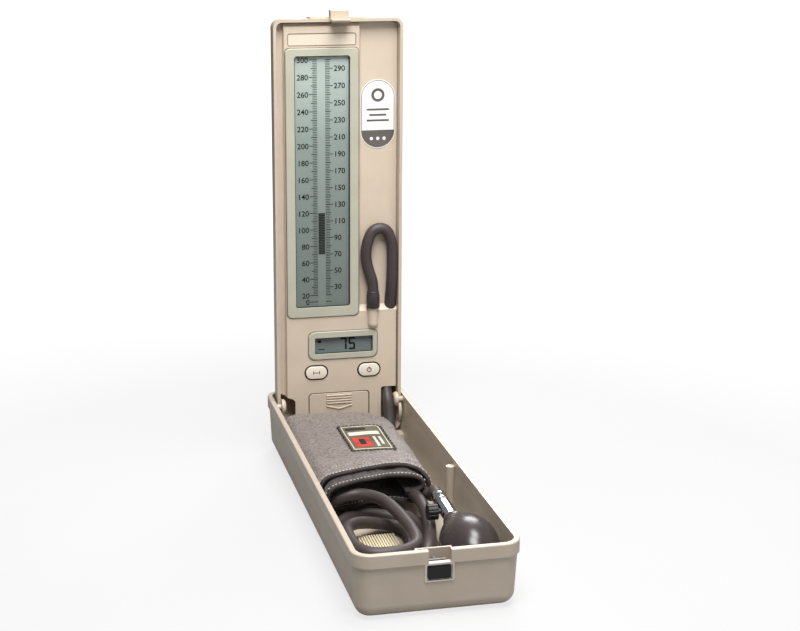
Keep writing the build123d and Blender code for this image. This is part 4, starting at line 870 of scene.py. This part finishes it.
def foldedSheet(section, front, look):
    # A flat grid laid along the section, from the front hem to the back one, and given its thickness.
    course = smoothCourse(section, look["across"] + 1)
    shape = bmesh.new()
    bmesh.ops.create_grid(shape, x_segments=look["across"], y_segments=look["along"], size=0.5)
    for vert in shape.verts:
        place = course[min(round((vert.co.x + 0.5) * look["across"]), look["across"])]
        share = vert.co.y + 0.5
        low, high = between(front, place.x), between(look["back"], place.x)
        y = low + (high - low) * share
        sway = 0.55 * noise.noise(Vector((place.x * 0.045, y * 0.035, place.y * 0.05)))
        lift = sway * min(1.0, share * 6) * min(1.0, (1 - share) * 8)
        vert.co = Vector((place.x, y, place.y + lift)) * mm
    outward(shape)
    half = look["thickness"] / 2 * mm
    for vert in shape.verts:
        vert.co += vert.normal * half
    bmesh.ops.solidify(shape, geom=shape.faces[:], thickness=2 * half)
    outward(shape)
    return shape


def puffed(obj, look, pinned):
    # Blows the sheet up between its hems, with no point moving further than the cap.
    rest = [v.co.copy() for v in obj.data.vertices]
    group = obj.vertex_groups.new(name="hem")
    group.add([v.index for v in obj.data.vertices if pinned(v.co)], 1.0, "REPLACE")
    cloth = obj.modifiers.new("cloth", "CLOTH")
    cloth.settings.vertex_group_mass = "hem"
    cloth.settings.use_pressure = True
    cloth.settings.uniform_pressure_force = look["pressure"]
    cloth.settings.shrink_min = look["growth"]
    cloth.settings.quality = 5
    cloth.settings.tension_stiffness = 10
    cloth.settings.bending_stiffness = 0.4
    cloth.settings.effector_weights.gravity = 0
    cloth.collision_settings.use_collision = False
    for step in range(1, look["steps"] + 1):
        scene.frame_set(step)
    ready = obj.evaluated_get(bpy.context.evaluated_depsgraph_get())
    moved = [v.co.copy() for v in ready.data.vertices]
    obj.modifiers.remove(cloth)
    obj.vertex_groups.remove(group)
    cap = look["cap"] * mm
    for vert, start, end in zip(obj.data.vertices, rest, moved):
        step = end - start
        if step.length > cap:
            step = step.normalized() * cap
        vert.co = start + step
    scene.frame_set(1)


def nearHem(look, front):
    def pinned(place):
        x, y = place.x / mm, place.y / mm
        low, high = between(front, x), between(look["back"], x)
        return y < low + 4.0 or y > high - 3.0
    return pinned


cuffOuter = keep("cuffOuter", foldedSheet(cuffLook["outer"], cuffLook["front"], cuffLook), "cuffNylon", "case",
                 ["cuff"])
# The inner and under layers take the darker copy of the nylon: painted shade between and under the folds
cuffInner = keep("cuffInner", foldedSheet(cuffLook["inner"], cuffLook["innerFront"], cuffLook), "cuffShadeNylon", "case")
cuffUnder = keep("cuffUnder", foldedSheet(cuffLook["under"], cuffLook["underFront"], cuffLook), "cuffShadeNylon", "case")
puffed(cuffOuter, cuffLook, nearHem(cuffLook, cuffLook["front"]))
puffed(cuffInner, cuffLook, nearHem(cuffLook, cuffLook["innerFront"]))
for layer in (cuffOuter, cuffInner, cuffUnder):
    soften = layer.modifiers.new("soften", "SUBSURF")
    soften.levels = soften.render_levels = 1
print("cuff folded")

# Hems: a dark tape bound round each layer's front edge, and a row of stitches behind it
hemLook = {"tape": 1.55, "set": 0.8, "row": 1.3, "pitch": 2.6, "stitch": (1.9, 1.15, 0.9)}


def hemLine(section, front):
    # Places along a front edge, each with its heading and the side that faces out of the fold.
    course = smoothCourse(section, 260)
    line = []
    for a, b in zip(course, course[2:]):
        run = (b - a).normalized()
        place = (a + b) / 2
        line.append((Vector((place.x, between(front, place.x), place.y)), Vector((-run.y, 0, run.x))))
    return line


def capsule(place, along, out, size):
    # A short thread, laid along its row.
    shape = bmesh.new()
    bmesh.ops.create_icosphere(shape, subdivisions=1, radius=0.5)
    side = along.cross(out).normalized()
    turn = Matrix((along, side, out)).transposed().to_4x4()
    grow = Matrix.Diagonal((*inMetres(size), 1))
    moveBy(shape, Matrix.Translation(place * mm) @ turn @ grow)
    return shape


hems = {"Outer": ("outer", "front", 1), "Inner": ("inner", "innerFront", -1), "Under": ("under", "underFront", 1)}
for name, (section, front, up) in hems.items():
    line = hemLine(cuffLook[section], cuffLook[front])
    course = [place + Vector((0, hemLook["set"], 0)) for place, out in line[::6]]
    keep("hemTape" + name, tube("hemTape" + name, course, hemLook["tape"], 4), "hemCloth", "case")
    stitches, gone, last = [], 0.0, line[0][0]
    for place, out in line:
        gone += (place - last).length
        last, before = place, last
        if gone >= hemLook["pitch"] and (place - before).length > 0:
            gone = 0.0
            out = out * up
            along = (place - before).normalized()
            out = (out - along * out.dot(along)).normalized()
            seat = place + Vector((0, hemLook["row"], 0)) + out * (hemLook["tape"] + 0.02)
            stitches.append(capsule(seat, along, out, hemLook["stitch"]))
    keep("stitches" + name, joined(*stitches), "threadLight", "case")
print("hems bound")

# Woven label on the cuff: draped patches, in plain blocks, with a sewn border
labelLook = {"low": (-14.4, 25.0), "high": (18.6, 80.0), "pitch": 2.9, "stitch": (3.3, 1.0, 0.8)}
scene.view_layers[0].update()
cuffTop = BVHTree.FromObject(cuffOuter, bpy.context.evaluated_depsgraph_get())


def above(x, y):
    hit = cuffTop.ray_cast(Vector((x * mm, y * mm, 0.1)), Vector((0, 0, -1)))
    return hit[0].z / mm, hit[1]


def draped(rects, lift, thick):
    # Cloth patches, X and Y in millimetres, laid on the cuff's own top.
    shapes = []
    for x0, y0, x1, y1 in rects:
        shape = bmesh.new()
        bmesh.ops.create_grid(
            shape, x_segments=max(1, round((x1 - x0) / 1.6)), y_segments=max(1, round((y1 - y0) / 1.6)), size=0.5
        )
        for vert in shape.verts:
            x, y = x0 + (x1 - x0) * (vert.co.x + 0.5), y0 + (y1 - y0) * (vert.co.y + 0.5)
            vert.co = Vector((x, y, above(x, y)[0] + lift)) * mm
        thicken(shape, (0, 0, thick * mm))
        outward(shape)
        shapes.append(shape)
    return joined(*shapes)


(lowX, lowY), (highX, highY) = labelLook["low"], labelLook["high"]
ground = draped([(lowX, lowY, highX, highY)], 0.0, 0.5)
keep("labelGround", ground, "labelOlive", "case", ["cuff_label"])
line = 0.7
edgeRects = [
    (lowX + 2, lowY + 2, lowX + 2 + line, highY - 2), (highX - 2 - line, lowY + 2, highX - 2, highY - 2),
    (lowX + 2, lowY + 2, highX - 2, lowY + 2 + line * 1.6), (lowX + 2, highY - 2 - line * 1.6, highX - 2, highY - 2),
]
bands = [(lowX + 4.6, 58.0, highX - 4.6, 65.5), (6.6, 32.0, 8.8, 53.0), (10.8, 36.5, 13.0, 53.0)]
keep("labelBands", draped(edgeRects + bands, 0.5, 0.14), "labelCream", "case")
keep("labelBlock", draped([(lowX + 4.6, 31.5, 3.8, 53.0)], 0.5, 0.16), "labelRed", "case")
keep("labelDark", draped([(lowX + 4.6, 69.5, 5.2, 73.5), (-5.0, 36.5, -0.6, 48.0)], 0.66, 0.14), "labelBlack", "case")
border = []
corners = [(lowX, lowY), (highX, lowY), (highX, highY), (lowX, highY), (lowX, lowY)]
for (x0, y0), (x1, y1) in zip(corners, corners[1:]):
    run = Vector((x1 - x0, y1 - y0, 0))
    count = round(run.length / labelLook["pitch"])
    for k in range(count):
        x, y = x0 + (x1 - x0) * (k + 0.5) / count, y0 + (y1 - y0) * (k + 0.5) / count
        height, out = above(x, y)
        lean = Matrix.Rotation(radians(50 if k % 2 else -50), 3, "Z") @ run.normalized()
        along = (lean - out * lean.dot(out)).normalized()
        border.append(capsule(Vector((x, y, height + 0.55)), along, out, labelLook["stitch"]))
keep("labelStitches", joined(*border), "labelBlack", "case")
print("label sewn")

# Each piece of the folded cuff gets a mesh of its own
pressed = ["cuff" + name for name in hems] + ["hemTape" + name for name in hems] + ["stitches" + name for name in hems]
pressed += ["labelGround", "labelBands", "labelBlock", "labelDark", "labelStitches"]
for name in pressed:
    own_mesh(bpy.data.objects[name])

# Ribbed pad on the floor of the case; its base, seen between the ribs, is darker: painted shade in the grooves
padLook = {"low": (-26.6, -71.6, 3.7), "high": (-0.8, -48.4, 5.9), "ribs": 14, "rib": 1.25, "top": 7.1}


def slab(low, high, edge):
    shape = bmesh.new()
    bmesh.ops.create_cube(shape, size=1)
    size = [(b - a) * mm for a, b in zip(low, high)]
    centre = [(a + b) / 2 * mm for a, b in zip(low, high)]
    stretch = Matrix.Translation(centre) @ Matrix.Diagonal((*size, 1))
    moveBy(shape, stretch)
    top = [e for e in shape.edges if all(v.co.z > centre[2] for v in e.verts)]
    bevelEdges(shape, top, edge * mm, 3)
    return shape


# The base's darker colour is painted shade in the grooves between the ribs
keep("padBase", slab(padLook["low"], padLook["high"], 0.3), "padGrooveShade", "case", ["ribbed_pad"])
(x0, y0, _), (x1, y1, z1) = padLook["low"], padLook["high"]
pitch = (x1 - x0 - padLook["rib"]) / (padLook["ribs"] - 1)
ribs = []
for k in range(padLook["ribs"]):
    x = x0 + k * pitch
    ribs.append(slab((x, y0, z1 - 0.4), (x + padLook["rib"], y1, padLook["top"]), 0.5))
keep("padRibs", joined(*ribs), "padFoam", "case")
print("pad ribbed")

# Floor and light
floorLook = {"size": 8.0, "tones": (0.25, 0.27), "white": 1.26, "near": (0.35, 0.6), "far": (1.1, 1.0)}
floorShape = bmesh.new()
bmesh.ops.create_grid(floorShape, x_segments=1, y_segments=1, size=floorLook["size"])
floorMesh = bpy.data.meshes.new("studioFloor")
floorShape.to_mesh(floorMesh)
floorShape.free()
floor = inScene("studioFloor", floorMesh)
floorFinish, nodes, links, shader, coords = startFinish("studioFloor")
shader.inputs["Roughness"].default_value = 0.9
mottle = noiseNode(nodes, links, coords, 3, 2)
ramp = rampNode(nodes, links, mottle.outputs["Fac"], [(t, t, t, 1) for t in floorLook["tones"]])
links.new(ramp.outputs["Color"], shader.inputs["Base Color"])
seen = nodes.new("ShaderNodeLightPath")
white = nodes.new("ShaderNodeEmission")
white.inputs["Strength"].default_value = floorLook["white"]
mix = nodes.new("ShaderNodeMixShader")
share = nodes.new("ShaderNodeMath")
share.operation = "MULTIPLY"
away = nodes.new("ShaderNodeVectorMath")
away.operation = "LENGTH"
links.new(coords, away.inputs[0])
(near, shadeNear), (far, shadeFar) = floorLook["near"], floorLook["far"]
spread = spreadNode(nodes, links, away.outputs["Value"], shadeNear, shadeFar)
spread.inputs["From Min"].default_value, spread.inputs["From Max"].default_value = near, far
links.new(spread.outputs["Result"], share.inputs[1])
links.new(seen.outputs["Is Camera Ray"], share.inputs[0])
links.new(share.outputs[0], mix.inputs["Fac"])
links.new(shader.outputs[0], mix.inputs[1])
links.new(white.outputs[0], mix.inputs[2])
links.new(mix.outputs[0], nodes["Material Output"].inputs["Surface"])
floor.data.materials.append(floorFinish)

world = bpy.data.worlds.new("studioWorld")
world.use_nodes = True
scene.world = world
nodes, links = world.node_tree.nodes, world.node_tree.links
background = nodes["Background"]
background.inputs["Color"].default_value = (1.0, 1.0, 1.0, 1)
worldLook = {"seen": 1.0, "light": 0.26}
path = nodes.new("ShaderNodeLightPath")
either = nodes.new("ShaderNodeMath")
either.operation = "MAXIMUM"
links.new(path.outputs["Is Camera Ray"], either.inputs[0])
links.new(path.outputs["Is Transmission Ray"], either.inputs[1])
strength = spreadNode(nodes, links, either.outputs[0], worldLook["light"], worldLook["seen"])
links.new(strength.outputs["Result"], background.inputs["Strength"])

lampLooks = {
    "keyLamp": {"place": (-0.1, -0.42, 1.0), "aim": (0.0, 0.05, 0.15), "size": 0.5, "power": 11.4},
    "topLamp": {"place": (0.12, -0.05, 0.95), "aim": (0.0, -0.03, 0.03), "size": 0.35, "power": 5},
    "fillLamp": {"place": (0.9, -1.2, 0.6), "aim": (0.0, 0.0, 0.12), "size": 0.9, "power": 4},
    "rimLamp": {"place": (0.35, 0.95, 0.8), "aim": (0.0, 0.0, 0.1), "size": 0.6, "power": 8},
}
for name, look in lampLooks.items():
    lamp = bpy.data.lights.new(name, "AREA")
    lamp.energy = look["power"]
    lamp.shape = "DISK"
    lamp.size = look["size"]
    holder = inScene(name, lamp)
    holder.location = look["place"]
    holder.rotation_euler = (Vector(look["aim"]) - Vector(look["place"])).to_track_quat("-Z", "Y").to_euler()
scene.view_settings.view_transform = "Standard"
print("studio lit")
